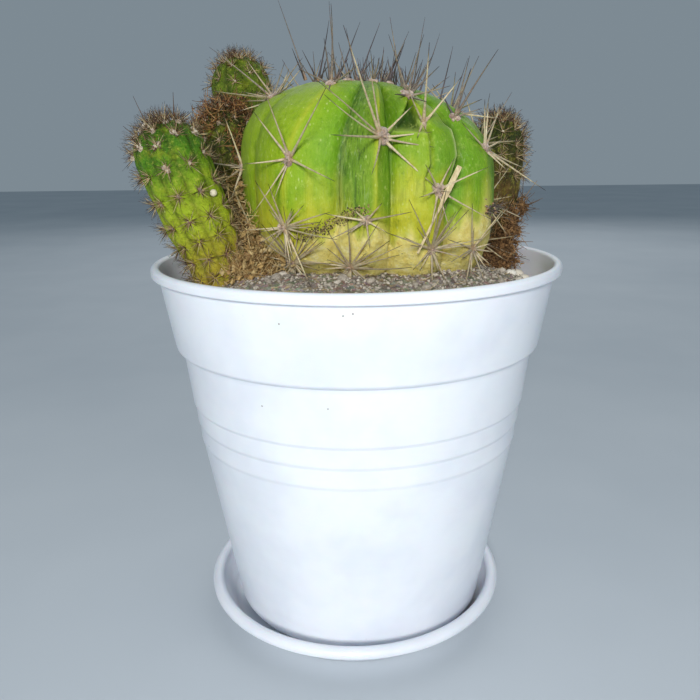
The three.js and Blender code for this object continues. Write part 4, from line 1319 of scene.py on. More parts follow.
@dataclass(eq=False)
class Globe(Plant):
    """The globe cactus: its body, cushions of wool, spines, crusts and old tangles."""

    form: GlobeForm = GlobeForm()
    steps_per_rib: int = 36
    rings: int = 170
    seed: int = 12
    # Noises that roughen the skin, as the size and height of their lumps; the last one only low down.
    waves: Pair = (14, 0.9)
    dents: Pair = (3, 0.22)
    cork_lumps: Pair = (1.6, 0.7)
    spine_radius: float = 0.42
    bend: float = 0.025
    young_spines: int = 3
    young_radius: float = 0.2
    tufts: int = 11
    star: int = 8
    star_reach: Pair = (9, 15)
    central_reach: Pair = (12, 17)
    areole_depth: float = 0.9
    crown_ring: Pair = (8, 16)
    crown_spines: int = 4
    crown_girth: float = 0.7
    skyline_girth: float = 0.78
    seen_middle: Pair = (350, 180)
    # The tangle of old spines at the right-hand edge and the line of the crust, in the photograph.
    tangle_pixel: Pair = (488, 211)
    tangle_spines: int = 26
    tangle_radius: float = 0.24
    crust_line: tuple[Pair, ...] = ((296, 238), (310, 234), (324, 230), (337, 220), (350, 215), (368, 212))
    crust_spread: Pair = (3, 3.4)
    crust_crumbs: int = 520
    skin_finish: Finish = GlobeSkin("globe_skin")
    wool_finish: Finish = Wool("areole_wool")
    crust_finish: Finish = Crumbs("crust", ("15110C", "3A2E1C", "8E7A44", "C9B878", "2A2014"), 0.2)

    def skin(self) -> Object:
        """Model the body: a sphere whose points are moved onto the form, then roughened.

        Returns:
            The body.
        """
        sides = self.steps_per_rib * len(self.form.ribs)
        bpy.ops.object.select_all(action="DESELECT")
        bpy.ops.mesh.primitive_uv_sphere_add(segments=sides, ring_count=self.rings, radius=MM)
        piece = added("globe_body")
        ball = points_of(piece)
        polar = np.degrees(np.arccos(np.clip(ball[:, 2], -1, 1)))
        turn = np.degrees(np.arctan2(ball[:, 1], ball[:, 0])) % 360
        segment = np.round(turn / 360 * sides).astype(int) % sides
        index = segment // self.steps_per_rib
        across = 2 * (segment % self.steps_per_rib) / self.steps_per_rib - 1
        angle = self.form.rib_angle(index, across, polar)
        points = self.form.points(angle, polar, self.form.sunk(index, across, polar))
        move_points(piece, points)
        cork = self.colour(piece, index, across, polar, points)
        low = piece.vertex_groups.new(name="low")
        for vertex in np.flatnonzero(cork > 0.02).tolist():
            low.add([vertex], float(cork[vertex]), "REPLACE")
        roughened(piece, *self.waves)
        roughened(piece, *self.dents)
        roughened(piece, *self.cork_lumps, group="low")
        face_outward(piece)
        smooth(piece)
        return finished(piece, self.skin_finish, "globe_skin", "globe_cactus")

    def zones(self, index: Array, across: Array, polar: Array) -> Iterator[tuple[str, Array]]:
        """Go through the coloured zones of the skin, from the first laid to the last.

        Args:
            index: each point's rib.
            across: its place across the rib.
            polar: its polar angle.

        Yields:
            Each zone's colour and its share at each point.
        """
        form = self.form
        leafy, beside, span = index == LEAFY, form.crease(across, polar), form.gap_band.share(polar)
        hollow = form.hollow(index, across, polar)
        soft = ((index == 0) & (across > 0)) | ((index == 1) & (across < 0))
        # Painted shade: a dark green line along every groove, fainter in the groove between the first two
        # ribs.
        groove_shade = bell(np.abs(across), 1, 0.09) * smoothstep(10, 30, polar)
        yield "2F5A10", np.where(soft, 0.12, 0.5) * groove_shade
        shaded = Bump(0.7, -0.14, 0.1).at(across) * Band(84, 91, 105, 112).share(polar)
        yield "4E8A10", (index == 1) * shaded
        yield "B4C878", (index == 2) * Bump(0.45, -0.9, 0.07).at(across) * smoothstep(55, 75, polar)
        lined = np.isin(index, (1, 2)) * 0.5 + 0.12
        yield "B9BE30", lined * bell(across, 0, 0.07) * smoothstep(20, 45, polar)
        # Painted shade: near-black green in the three-cornered hollow above the leafy rib's main lobe.
        yield "14300A", 0.9 * hollow
        upper = leafy * smoothstep(-0.25, -0.5, across) * Band(30, 45, 60, 67).share(polar)
        yield "4A7A18", 0.4 * upper * (1 - hollow)
        yield "BCD46A", 0.6 * leafy * bell(polar, 67, 1.6) * smoothstep(-0.02, -0.1, across)
        # Painted shade: dark green in the leafy rib's deep creases, keyed to how deep the folds cut.
        yield "22400A", 0.85 * smoothstep(0.9, 2.0, form.folds(index, across, polar)) * (across > -0.1)
        yield "4E8A12", 0.5 * leafy * span * smoothstep(0.02, 0.1, beside) * (across < 0.9)
        # Painted shadow: dark green in the gap under the leafy rib's overhanging edge, on the rib beside it.
        yield "1C380A", (index == BESIDE) * span * Bump(0.95, -0.95, 0.13).at(across)
        yield "DCE49C", leafy * span * Bump(0.95, 0.78, 0.065).at(across)
        yield "C6D878", leafy * span * Bump(0.5, -0.09, 0.03).at(beside)
        yield "D0D68C", 0.5 * leafy * bell(polar, 89.5 - 3 * across, 0.9) * (beside < 0)

    def colour(self, piece: Object, index: Array, across: Array, polar: Array, points: Array) -> Array:
        """Keep the skin's tone and the shares of cork and streaked flank on the vertices.

        Args:
            piece: the body.
            index: each vertex' rib.
            across: its place across the rib.
            polar: its polar angle.
            points: its place.

        Returns:
            The shares of cork.
        """
        left, middle, right = (
            self.form.of_rib(name, index, linear) for name in ("left", "middle", "right")
        )
        x, y, _ = points.T
        wander = 3 * np.sin(0.31 * x + 0.6) + 2 * np.sin(0.77 * x + 0.2 * y) + 1.5 * np.sin(1.7 * x - 0.9 * y)
        past_ripe = polar - self.form.of_rib("ripe", index) - wander
        cork = smoothstep(-3, 11, polar - self.form.of_rib("cork", index) - wander)
        to_left = np.clip(-across, 0, 1)[:, None] ** 0.8
        to_right = np.clip(across, 0, 1)[:, None] ** 0.8
        tone = middle * (1 - to_left - to_right) + left * to_left + right * to_right
        last = (
            ("C6C232", 0.9 * smoothstep(-2, 16, past_ripe)),
            ("F0E294", cork),
            ("6A5A30", 0.5 * smoothstep(16, 4, polar)),
        )
        for code, share in (*self.zones(index, across, polar), *last):
            tone = tone + (np.array(linear(code)) - tone) * share[:, None]
        flank = self.form.of_rib("flank", index) * smoothstep(-0.05, -0.4, across)
        flank += 0.25 * smoothstep(0.4, 0.9, np.abs(across))
        mark(piece, "tone", tone)
        mark(piece, "cork", cork)
        mark(piece, "flank", np.clip(flank, 0, 1) * (1 - cork))
        return cork

    def skin_at(self, rib: Rib, polar: float, turn: float = 0, dip: float = 0) -> Array:
        """A place on a rib's ridge, or a few degrees aside of it."""
        angle = rib.ridge + rib.lean * (polar - 85) / 45
        return self.form.points(np.array(angle + turn), np.array(polar + dip), self.areole_depth)

    def areole(self, rib: Rib, polar: float) -> tuple[Array, Array]:
        """Find an areole that the photograph doesn't show."""
        place = self.skin_at(rib, polar)
        sideways = self.skin_at(rib, polar, turn=2) - self.skin_at(rib, polar, turn=-2)
        upwards = self.skin_at(rib, polar, dip=-2) - self.skin_at(rib, polar, dip=2)
        outward = unit(np.cross(sideways, upwards))
        middle = np.array([self.form.x, self.form.y, self.form.equator])
        return place, outward if outward @ (place - middle) >= 0 else -outward

    @staticmethod
    def stood_off(surface: BVHTree, root: Array, seen: Array, outward: Array, stand: float) -> Array:
        """Turn a spine's reach towards or away from the viewer until it leaves the skin and shows.

        Args:
            surface: the skin.
            root: the spine's root.
            seen: the reach in the picture.
            outward: the skin's outward normal.
            stand: how much of the reach's direction should point outward.

        Returns:
            The reach, whose part in the picture stays seen.
        """
        toward = -VIEW.axes()[2] * np.linalg.norm(seen)
        leans = np.linspace(-1.2, 1.6, 57)
        off = unit(seen + leans[:, None] * toward) @ outward - stand
        best = int(np.argmin(np.abs(off) + 0.05 * np.abs(leans)))
        for lean in leans[best:]:
            reach = seen + lean * toward
            if all(VIEW.shows(surface, root + share * reach) for share in (0.3, 0.5, 0.7, 0.85, 1.0)):
                return reach
        return seen + leans[best] * toward

    def seen_spines(self, surface: BVHTree) -> None:
        """Place the areoles and spines that the photograph shows.

        Args:
            surface: the skin.
        """
        random = self.random
        for areole in SEEN_AREOLES:
            point, normal = VIEW.hit_near(surface, areole.pixel, self.seen_middle)
            self.add_wool(point, normal, areole.cushion * 1.2)
            more = [(random.uniform(0, 360), random.uniform(4, 12)) for _ in range(areole.extra)]
            for clock, length in (*areole.spines, *more):
                seen = VIEW.seen_direction(clock) * length
                reach = self.stood_off(surface, point, seen, normal, areole.stand)
                start = point + unit(reach - normal * (reach @ normal)) * areole.cushion * 0.3
                self.add_spine(start - normal * 0.1, reach, areole.shade)
            for _ in range(self.young_spines):
                reach = unit(normal + random.normal(0, 0.5, 3)) * random.uniform(2, 4.5)
                self.spines.add_spine(point, reach, self.young_radius, random.uniform(0.2, 0.7))
        for root, tip in CROWN_SPINES:
            point = VIEW.at_depth(root, random.uniform(-8, 6))
            end = VIEW.at_depth(tip, point[1] - random.uniform(0, 5))
            foot = point - [0, 0, 1]
            self.add_spine(foot, end - foot, random.uniform(0.9, 1), self.skyline_girth)

    def add_spine(self, root: Array, reach: Array, shade: float, girth: float = 1) -> None:
        """Add one spine with a slight bend."""
        random = self.random
        bend = random.normal(0, self.bend, 3) * np.linalg.norm(reach)
        radius = self.spine_radius * random.uniform(0.75, 1.05) * girth
        own_shade = float(np.clip(shade + random.normal(0, 0.12), 0, 1))
        self.spines.add_spine(root, reach - bend, radius, own_shade, bend)

    def add_wool(self, point: Array, normal: Array, size: float) -> None:
        """Heap tufts of wool into one cushion."""
        random = self.random
        for _ in range(self.tufts):
            aside = np.clip(random.normal(0, 0.42, 3), -0.6, 0.6) * size
            aside -= normal * (aside @ normal)
            tuft = size * random.uniform(0.25, 0.6)
            turn = random.uniform(0, FULL_TURN)
            self.wool.add_cushion(point + aside, normal, (tuft, tuft * 0.8), turn, random.uniform(0, 0.6))

    def other_spines(self) -> None:
        """Place the areoles of the ribs that the photograph doesn't show, and those at the crown."""
        random = self.random
        for number, rib in enumerate(self.form.ribs):
            hidden = rib.areoles if number > BESIDE else rib.areoles[:1] if number == 0 else ()
            for polar in hidden:
                point, outward = self.areole(rib, polar)
                self.add_wool(point, outward, 1.5)
                self.add_star(point, outward)
            for polar in self.crown_ring:
                point, outward = self.areole(rib, polar + 2 * (number % 2))
                self.add_wool(point, outward, 1.3)
                for _ in range(self.crown_spines):
                    reach = unit(np.array([0, 0, 0.8]) + 0.4 * outward + random.normal(0, 0.45, 3))
                    length = random.uniform(4, 10)
                    self.add_spine(point, reach * length, random.uniform(0.8, 1), self.crown_girth)

    def add_star(self, point: Array, outward: Array) -> None:
        """Add a star of radial spines and a central one.

        Args:
            point: the areole.
            outward: the skin's outward direction there.
        """
        random = self.random
        side = unit(np.cross([0, 0, 1.0], outward))
        top = np.cross(outward, side)
        turn = random.uniform(0, 360)
        for k in range(self.star):
            clock = math.radians(turn + 360 * k / self.star + random.uniform(-14, 14))
            flat = side * math.sin(clock) + top * math.cos(clock)
            reach = unit(flat + outward * random.uniform(0.2, 0.6)) * random.uniform(*self.star_reach)
            self.add_spine(point + flat * 0.7 - outward * 0.5, reach, random.uniform(0.1, 0.4))
        reach = unit(outward + random.normal(0, 0.25, 3)) * random.uniform(*self.central_reach)
        self.add_spine(point, reach, 0.5)

    def tangle(self, surface: BVHTree) -> None:
        """Add the old grey spines at the right-hand edge."""
        random = self.random
        point, normal = VIEW.hit_near(surface, self.tangle_pixel, self.seen_middle)
        for _ in range(self.tangle_spines):
            reach = unit(normal * 0.6 + random.normal(0, 0.8, 3)) * random.uniform(3, 8)
            bend = random.normal(0, 1.4, 3)
            root, shade = point + random.normal(0, 1.0, 3), random.uniform(0.8, 1.0)
            self.spines.add_spine(root, reach, self.tangle_radius, shade, bend)

    def crust(self, surface: BVHTree) -> Object:
        """Lay the dark-specked crust along the old scar on the front.

        Args:
            surface: the skin.

        Returns:
            The crust.
        """
        random = np.random.default_rng(31)
        line = np.array(self.crust_line)
        crumbs = Copies()
        for _ in range(self.crust_crumbs):
            place = random.uniform(0, len(line) - 1.001)
            k = int(place)
            pixel = line[k] + (place - k) * (line[k + 1] - line[k])
            found = VIEW.hit(surface, tuple(pixel + random.normal(0, 1, 2) * self.crust_spread))
            if found:
                size = random.uniform(0.1, 0.34)
                turn = random.uniform(0, FULL_TURN)
                crumbs.add_cushion(*found, (size, size * 0.7), turn, random.uniform(0, 1))
        piece = crumb_stamp(1, 0.6, 8).stamped("globe_crust", crumbs)
        return finished(piece, self.crust_finish, "dry_tissue")

    def build(self) -> list[Object]:
        """Build the plant.

        Returns:
            Its pieces, the body first.
        """
        body = self.skin()
        surface = tree_of(body)
        self.seen_spines(surface)
        self.other_spines()
        self.tangle(surface)
        return [
            body,
            finished(spine_stamp(7, 5).stamped("globe_spines", self.spines), HORN, "spines"),
            finished(crumb_stamp(2, 0.35, 3).stamped("globe_wool", self.wool), self.wool_finish, "spines"),
            self.crust(surface),
        ]


# ---- the columns


@dataclass(eq=False)
class Column(Plant):
    """A column: a ribbed shaft on a bent line with a domed top, and its areoles and fine spines.

    tones are its colours from the foot to the top. felt is the size of its cushions of wool.
    """

    name: str
    slot: str
    line: tuple[Triple, ...]
    radii: tuple[float, ...]
    dome: float
    tones: tuple[str, ...]
    ribs: int = 10
    relief: float = 0.5
    areole_step: float = 6.1
    spine: float = 4
    per_areole: int = 9
    hairs: int = 8
    crest: int = 240
    felt: float = 0.8
    old: float = 0.3
    seed: int = 1
    steps_per_rib: int = 12
    rings: int = 84
    # Shares of the way from pole to pole where the dome ends and where the foot starts to close.
    dome_share: float = 0.26
    closing: float = 0.985
    # Share of the shaft that has areoles, and how deep they sit.
    grown_share: float = 0.86
    areole_depth: float = 0.25
    # Radius and shade of its spines and of its hairs.
    spine_look: Pair = (0.12, 0.2)
    hair_look: Pair = (0.08, 0.9)
    # Its longest spines, as the pixels of root and tip.
    long_spines: tuple[tuple[Pair, Pair], ...] = ()

    def frame_at(self, share: Array) -> tuple[Array, Array, Array, Array, Array]:
        """Follow the middle line through its knots.

        Args:
            share: places on it, from 0 at its foot to 1 at its end.

        Returns:
            The places, the up, right and front directions and the radius there.
        """
        knots, radii = np.array(self.line, float), np.array(self.radii)
        last = len(knots) - 1
        padded = np.vstack([2 * knots[0] - knots[1], knots, 2 * knots[-1] - knots[-2]])
        place = np.clip(share, 0, 1) * last
        k = np.minimum(place.astype(int), last - 1)
        t = (place - k)[:, None]
        a, b, c, d = (padded[k + n] for n in range(4))
        first, second, third = c - a, 2 * a - 5 * b + 4 * c - d, 3 * b - a - 3 * c + d
        middle = 0.5 * (2 * b + first * t + second * t**2 + third * t**3)
        up = unit(first + 2 * second * t + 3 * third * t**2)
        right = unit(np.array([1.0, 0, 0]) - up * up[:, :1])
        ease = smoothstep(0, 1, t[:, 0])
        return middle, up, right, np.cross(right, up), radii[k] + ease * (radii[k + 1] - radii[k])

    def length(self) -> float:
        """Length of the shaft's middle line."""
        middle = self.frame_at(np.linspace(0, 1, 40))[0]
        return float(np.linalg.norm(np.diff(middle, axis=0), axis=1).sum())

    def across(self, angle: Array) -> Array:
        """Place across a rib, from 0 on its ridge to 1 in the groove."""
        return np.abs((angle * self.ribs / 360 + 0.5) % 1 - 0.5) * 2

    def points(self, share: Array, dome_angle: Array, angle: Array, sunk: Array | float) -> Array:
        """Find points of the skin."""
        middle, up, right, front, radius = self.frame_at(share)
        reach = (radius - sunk) * np.cos(np.radians(dome_angle))
        lift = self.dome * np.sin(np.radians(dome_angle))
        turn = np.radians(angle)
        aside = right * (reach * np.sin(turn))[:, None] + front * (reach * np.cos(turn))[:, None]
        return middle + up * lift[:, None] + aside

    def sunk(self, share: Array, dome_angle: Array, angle: Array) -> Array:
        """Find how deep the skin lies below the ridges' form, with a notch at each row of areoles."""
        across = self.across(angle)
        groove = self.relief * (0.25 * across + 0.75 * across**2.2) + 0.2 * bell(across, 1, 0.12)
        below = (1 - share) * self.length() / self.areole_step
        swell = 0.07 * np.cos(2 * np.pi * below) * (1 - across) * (dome_angle <= 0)
        return (groove - swell) * smoothstep(88, 55, dome_angle)

    def shaft(self, finish: Finish) -> Object:
        """Model the body from a sphere whose points are moved onto the column's form.

        Args:
            finish: its finish.

        Returns:
            The body.
        """
        sides = self.steps_per_rib * self.ribs
        bpy.ops.object.select_all(action="DESELECT")
        bpy.ops.mesh.primitive_uv_sphere_add(segments=sides, ring_count=self.rings, radius=MM)
        piece = added(f"{self.name}_body")
        ball = points_of(piece)
        down = np.degrees(np.arccos(np.clip(ball[:, 2], -1, 1))) / 180
        angle = np.degrees(np.arctan2(ball[:, 0], -ball[:, 1]))
        dome_angle = 90 * (1 - np.clip(down / self.dome_share, 0, 1))
        share = 1 - np.clip((down - self.dome_share) / (self.closing - self.dome_share), 0, 1)
        points = self.points(share, dome_angle, angle, self.sunk(share, dome_angle, angle))
        foot = self.frame_at(np.zeros(1))[0][0]
        points += (foot - points) * smoothstep(self.closing, 1, down)[:, None]
        move_points(piece, points)
        height = np.clip(share * 0.85 + 0.15 * dome_angle / 90, 0, 1)
        stops = np.linspace(0, 1, len(self.tones))
        colours = np.array([linear(code) for code in self.tones])
        tone = np.stack([np.interp(height, stops, colours[:, c]) for c in range(4)], axis=-1)
        # Painted shade: the tone darkens towards each groove between the ribs.
        tone[:, :3] *= (1 - 0.5 * self.across(angle) ** 3)[:, None]
        mark(piece, "tone", tone)
        mark(piece, "old", self.old * smoothstep(0.75, 0.05, height))
        roughened(piece, 5, 0.5)
        roughened(piece, 1.2, 0.22)
        smooth(piece)
        return finished(piece, finish, self.slot, self.name)

    def areoles(self) -> Iterator[tuple[Array, Array, Array, float]]:
        """Find the areoles, rib by rib and then round the tip.

        Returns:
            Each one's place, outward and upward direction and share of the height.
        """
        spots = []
        for rib in range(self.ribs):
            angle = 360 * rib / self.ribs
            shift = 0.5 + 0.12 * math.sin(rib * 2.4)
            for row in range(int(self.length() * self.grown_share / self.areole_step)):
                spots.append((1 - (row + shift) * self.areole_step / self.length(), 0, angle))
            spots += [(1, 16 + 10 * (rib % 2), angle), (1, 48 + 14 * (rib % 2), angle)]
        spots += [(1, 80, 60 + 120 * k) for k in range(3)]
        share, dome_angle, angle = np.array(spots, float).T
        points = self.points(share, dome_angle, angle, self.areole_depth)
        middle, up = self.frame_at(share)[:2]
        outward = points - middle
        level = outward - up * np.sum(outward * up, axis=-1, keepdims=True)
        outward = unit(np.where(dome_angle[:, None] > 0, outward, level))
        return zip(points, outward, up, share * 0.85 + 0.15 * dome_angle / 90)

    def tuft(self, point: Array, outward: Array, lift: Array, count: int, look: Pair) -> None:
        """Spread the spines or hairs of one areole.

        Args:
            point: the areole.
            outward: the skin's outward direction.
            lift: how far all of them lean towards the column's tip.
            count: how many there are.
            look: their radius and shade.
        """
        random, (radius, shade) = self.random, look
        around = unit(np.cross(outward, [0.1, 0.2, 1.0]))
        across = np.cross(around, outward)
        turn = random.uniform(0, FULL_TURN)
        for k in range(count):
            clock = turn + 2 * math.pi * k / count + random.normal(0, 0.25)
            flat = around * math.cos(clock) + across * math.sin(clock)
            reach = unit(flat + outward * random.uniform(0.3, 1.4) + lift)
            reach *= self.spine * random.uniform(0.5, 1.15)
            own = float(np.clip(random.normal(shade, 0.25), 0, 1))
            self.spines.add_spine(point - outward * 0.3, reach, radius, own, random.normal(0, 0.25, 3))

    def crown(self) -> None:
        """Crowd dark fine spines on the dome."""
        random = self.random
        middle, up = (part[0] for part in self.frame_at(np.ones(1))[:2])
        for _ in range(self.crest):
            dome_angle, angle = 90 * random.random() ** 0.6, random.uniform(0, 360)
            point = self.points(*np.array([[1.0], [dome_angle], [angle]]), 0.5)[0]
            reach = unit(point - middle + up * 4 + random.normal(0, 3.5, 3))
            reach *= self.spine * random.uniform(0.35, 0.95)
            shade = random.uniform(0.75, 1)
            self.spines.add_spine(point, reach, self.hair_look[0], shade, random.normal(0, 0.3, 3))

    def build(self, skin: Finish, felt: Finish) -> list[Object]:
        """Build the column.

        Args:
            skin: finish of its skin.
            felt: finish of its wool.

        Returns:
            Its pieces, the body first.
        """
        body = self.shaft(skin)
        random = self.random
        for point, outward, up, height in self.areoles():
            young = float(smoothstep(0.5, 0.95, height))
            size = self.felt * (0.45 + 0.55 * young) * random.uniform(0.8, 1.2)
            for _ in range(3):
                place = point + random.normal(0, 0.35, 3) * size
                turn = random.uniform(0, FULL_TURN)
                self.wool.add_cushion(place, outward, (size * 0.7, size * 0.55), turn, 1 - young)
            lift = up * 0.35 * young
            self.tuft(point, outward, lift, self.per_areole, self.spine_look)
            self.tuft(point, outward, lift, self.hairs, self.hair_look)
        self.crown()
        for root, tip in self.long_spines:
            start, end = (VIEW.at_depth(pixel, self.line[-1][1]) for pixel in (root, tip))
            self.spines.add_spine(start, end - start, 0.2, 0.95)
        spines = spine_stamp(4, 2, 0.3).stamped(f"{self.name}_spines", self.spines)
        finished(spines, BROWN_HORN, "spines")
        wool = crumb_stamp(2, 0.5, 6).stamped(f"{self.name}_wool", self.wool)
        return [body, spines, finished(wool, felt, "spines")]


COLUMNS = (
    Column(
        "stem_front_left", "column_skin_green",
        ((-35.4, -11.8, 94), (-37.9, -12.2, 108.6), (-42.4, -13, 121), (-48, -14, 137.2)),
        (6.8, 7.8, 9.1, 9.4), 8.2,
        ("B49A48", "CCBC3C", "C4BE32", "B4C828", "98B420", "4C8410", "2C4E0E"),
        spine=4.4, seed=41, felt=1.0, per_areole=12, hairs=26, crest=260, old=0.45,
        long_spines=(((148, 128), (133, 96)), ((174, 116), (173, 92)), ((140, 140), (123, 126))),
    ),
    Column(
        "stem_left", "column_skin_dark",
        ((-31, 14.5, 94), (-34, 15, 108), (-39, 17, 130), (-39.3, 17, 143.5)),
        (6.5, 7.6, 8, 8), 8, ("4A4420", "56581C", "545C1C", "3C4C14", "2C3E12"),
        seed=42, old=0.9, per_areole=10, hairs=12, crest=520,
    ),
    Column(
        "stem_back_left", "column_skin_olive",
        ((-24, 31, 94), (-26.5, 33, 108), (-31.4, 35.5, 130), (-33.6, 34.5, 145), (-36, 32, 157.5)),
        (7.5, 8.8, 9.2, 9.2, 9.2), 9, ("54441A", "5C501A", "5A5410", "5C6A12", "627C14", "4E6412"),
        seed=43, old=0.7, felt=0.45, per_areole=10, hairs=12, crest=140,
    ),
    Column(
        "stem_right", "column_skin_brown",
        ((39.5, 19.5, 94), (40.5, 20.5, 106), (43.8, 22.8, 130), (44.3, 24, 139.8)),
        (6.5, 7.3, 7.9, 7.6), 7, ("5C4226", "4E3A1E", "403A16", "343C12", "2A3E10"),
        spine=4.6, seed=44, old=1.0, felt=0.5, per_areole=12, hairs=14, crest=180,
    ),
)


# ---- soil


@dataclass(frozen=True)
class Soil:
    """The soil in the pot: its bed, loose grains, pebbles and bits of fibre."""

    # The pot's wall on the inside, from the floor's middle up, and the surface's height at the wall.
    wall: tuple[Pair, ...] = ((1, 4.9), (35.2, 4.9), (45.2, 57.0), (46.6, 68.5), (48.7, 83.3), (50.9, 86.9))
    edge: float = 99.8
    crown: float = 106
    heap_radius: float = 28
    edge_radius: float = 55
    grit: float = 0.35
    # Noises of the surface, as the size and height of their lumps.
    lumps: tuple[Pair, Pair] = ((2.6, 1.0), (0.9, 0.6))
    rim_radius: float = 53.1
    sides: int = 168
    ring_step: float = 1.1
    # How many stones there are, and their smallest and largest radius.
    grains: int = 7000
    grain_sizes: Pair = (0.2, 0.6)
    pebbles: int = 90
    pebble_sizes: Pair = (0.7, 1.6)
    bits: int = 120
    # Nothing loose lies under the globe.
    globe_middle: Pair = (5, 3)
    globe_radius: float = 25
    # Pale stones beside the right-hand column: place and radius.
    pale_stones: tuple[Triple, ...] = ((48.6, 8.5, 2.2), (46.2, 5.2, 1.7), (50.2, 4.6, 1.5))
    base: Finish = SoilBase("soil_base")
    gravel: Finish = Crumbs("grit")
    limestone: Finish = Crumbs("pale_stone", ("B9AE9A", "D9D0BE", "EDE6D6", "F4EFE4", "C9BFAA"), 0.15)
    fibre: Finish = Straw("fibre", "C9B58C", "6A5232")

    def height(self, x: Array, y: Array) -> Array:
        """Find the height of the surface."""
        heap = 1 - smoothstep(self.heap_radius, self.edge_radius, np.hypot(x, y))
        ripple = np.sin(0.9 * x + 1.7) * np.sin(1.1 * y) + 0.6 * np.sin(0.47 * (x - y) + 0.4)
        return self.edge + (self.crown - self.edge) * heap + self.grit * ripple

    def bed(self) -> Object:
        """Turn the bed inside the pot's wall and shape its surface.

        Returns:
            The bed.
        """
        rings = np.arange(self.rim_radius, 1, -self.ring_step)
        top = [(float(radius), self.edge) for radius in rings]
        piece = turned("soil_bed", [*self.wall, *top], self.sides)
        points = points_of(piece)
        surface = points[:, 2] > self.edge - 0.5
        points[surface, 2] = self.height(points[surface, 0], points[surface, 1])
        move_points(piece, points)
        group = piece.vertex_groups.new(name="surface")
        group.add(np.flatnonzero(surface).tolist(), 1.0, "REPLACE")
        for size, height in self.lumps:
            roughened(piece, size, height, group="surface")
        smooth(piece)
        return finished(piece, self.base, "soil", "soil")

    def spot(self, random: Random, reach: float) -> Array:
        """Pick a place on the surface that is clear of the globe."""
        while True:
            x, y = random.uniform(-reach, reach, 2)
            if math.hypot(x, y) < reach and math.dist((x, y), self.globe_middle) > self.globe_radius:
                return np.array([x, y, float(self.height(x, y))])

    def stones(self, name: str, count: int, sizes: Pair, fineness: int, seed: int) -> Object:
        """Scatter stones over the surface.

        Args:
            name: the piece's name.
            count: how many there are.
            sizes: the smallest and the largest radius.
            fineness: how fine each is.
            seed: seed of their places and of their shape.

        Returns:
            The stones.
        """
        random, copies = np.random.default_rng(seed), Copies()
        for _ in range(count):
            size = sizes[0] + (sizes[1] - sizes[0]) * random.random() ** 2.2
            lean = unit(np.array([0, 0, 1.0]) + random.normal(0, 0.35, 3))
            place = self.spot(random, self.rim_radius - size - 0.2) + [0, 0, size * 0.2]
            turn = random.uniform(0, FULL_TURN)
            copies.add_cushion(place, lean, (size, size * 0.75), turn, random.random())
        return finished(crumb_stamp(fineness, 0.45, seed).stamped(name, copies), self.gravel, "soil")

    def pale(self) -> Object:
        """Lay the pale stones."""
        random, copies = np.random.default_rng(9), Copies()
        for x, y, radius in self.pale_stones:
            place = np.array([x, y, float(self.height(x, y)) + 0.15 * radius])
            turn, lean = random.uniform(0, FULL_TURN), np.array([0.1, 0, 1.0])
            copies.add_cushion(place, lean, (radius, radius * 0.7), turn, random.random())
        return finished(crumb_stamp(4, 0.12, 9).stamped("pale_stones", copies), self.limestone, "soil")

    def fibres(self) -> Object:
        """Strew bits of root and straw.

        Returns:
            The bits.
        """
        random, copies = np.random.default_rng(17), Copies()
        for _ in range(self.bits):
            turn = random.uniform(0, FULL_TURN)
            reach = np.array([math.cos(turn), math.sin(turn), random.uniform(-0.05, 0.2)])
            reach *= random.uniform(2.5, 8)
            place = self.spot(random, self.rim_radius - 8) + [0, 0, 0.4]
            copies.add_spine(place, reach, 0.13, random.random(), random.normal(0, 0.7, 3))
        return finished(spine_stamp(4, 5, 0.6).stamped("soil_fibres", copies), self.fibre, "straw")

    def build(self) -> list[Object]:
        """Build the soil."""
        return [
            self.bed(),
            self.stones("soil_grains", self.grains, self.grain_sizes, 1, 21),
            self.stones("soil_pebbles", self.pebbles, self.pebble_sizes, 2, 22),
            self.pale(),
            self.fibres(),
        ]


# ---- dry bits


@dataclass(frozen=True)
class DryBlade:
    """The flat dry blade that leans on the front of the globe, by the pixels of its ends."""

    top: Pair = (457, 171)
    foot: Pair = (416, 256)
    width: float = 1.35
    thickness: float = 0.25
    clear: float = 0.5
    # How many strips it is cut into across and along, and how high it bows.
    across_cuts: int = 6
    along_cuts: int = 24
    bow: float = 0.5
    straw: Finish = Straw("blade_straw", "DCCBA0", "A38A5C")

    def build(self, surface: BVHTree) -> list[Object]:
        """Model the blade from a bar that is cut across, folded and laid on the ribs.

        Args:
            surface: the globe's skin.

        Returns:
            The blade.
        """
        top, foot = (VIEW.hit(surface, pixel)[0] for pixel in (self.top, self.foot))
        toward = -VIEW.axes()[2]
        steps = [foot + (top - foot) * k / 20 for k in range(21)]
        lift = max(self.depth(surface, point, toward) for point in steps) + self.clear
        foot, top = foot + toward * lift, top + toward * lift
        bpy.ops.object.select_all(action="DESELECT")
        bpy.ops.mesh.primitive_cube_add(size=1, location=(0, 0, 0.5))
        piece = added("dry_blade_strip")
        settle(piece)
        low = np.array([-0.5, -0.5, 0])
        with editing(piece):
            for axis, cuts in ((0, self.across_cuts), (2, self.along_cuts)):
                normal = np.eye(3)[axis]
                for k in range(1, cuts):
                    bpy.ops.mesh.select_all(action="SELECT")
                    bpy.ops.mesh.bisect(plane_co=normal * (low + k / cuts), plane_no=normal)
        x, y, z = (points_of(piece) * MM).T
        width = self.width * (0.4 + 0.6 * smoothstep(0.4, 0.75, z) + 0.05 * np.sin(11 * z))
        across = unit(np.cross(top - foot, toward))
        fold = -0.5 * np.abs(x) * width * 0.5
        height = y * self.thickness + fold + self.bow * np.sin(np.pi * z)
        points = foot + np.outer(z, top - foot) + np.outer(x * width, across) + np.outer(height, toward)
        move_points(piece, points)
        face_outward(piece)
        smooth(piece, 35)
        return [finished(piece, self.straw, "straw", "dry_blade")]

    @staticmethod
    def depth(surface: BVHTree, point: Array, toward: Array, start: float = 30) -> float:
        """Find how deep a point lies under a surface, as seen by the viewer."""
        found = surface.ray_cast(Vector((point + toward * start) * MM), Vector(-toward))
        return 0.0 if found[0] is None else max(0.0, start - found[3] / MM)


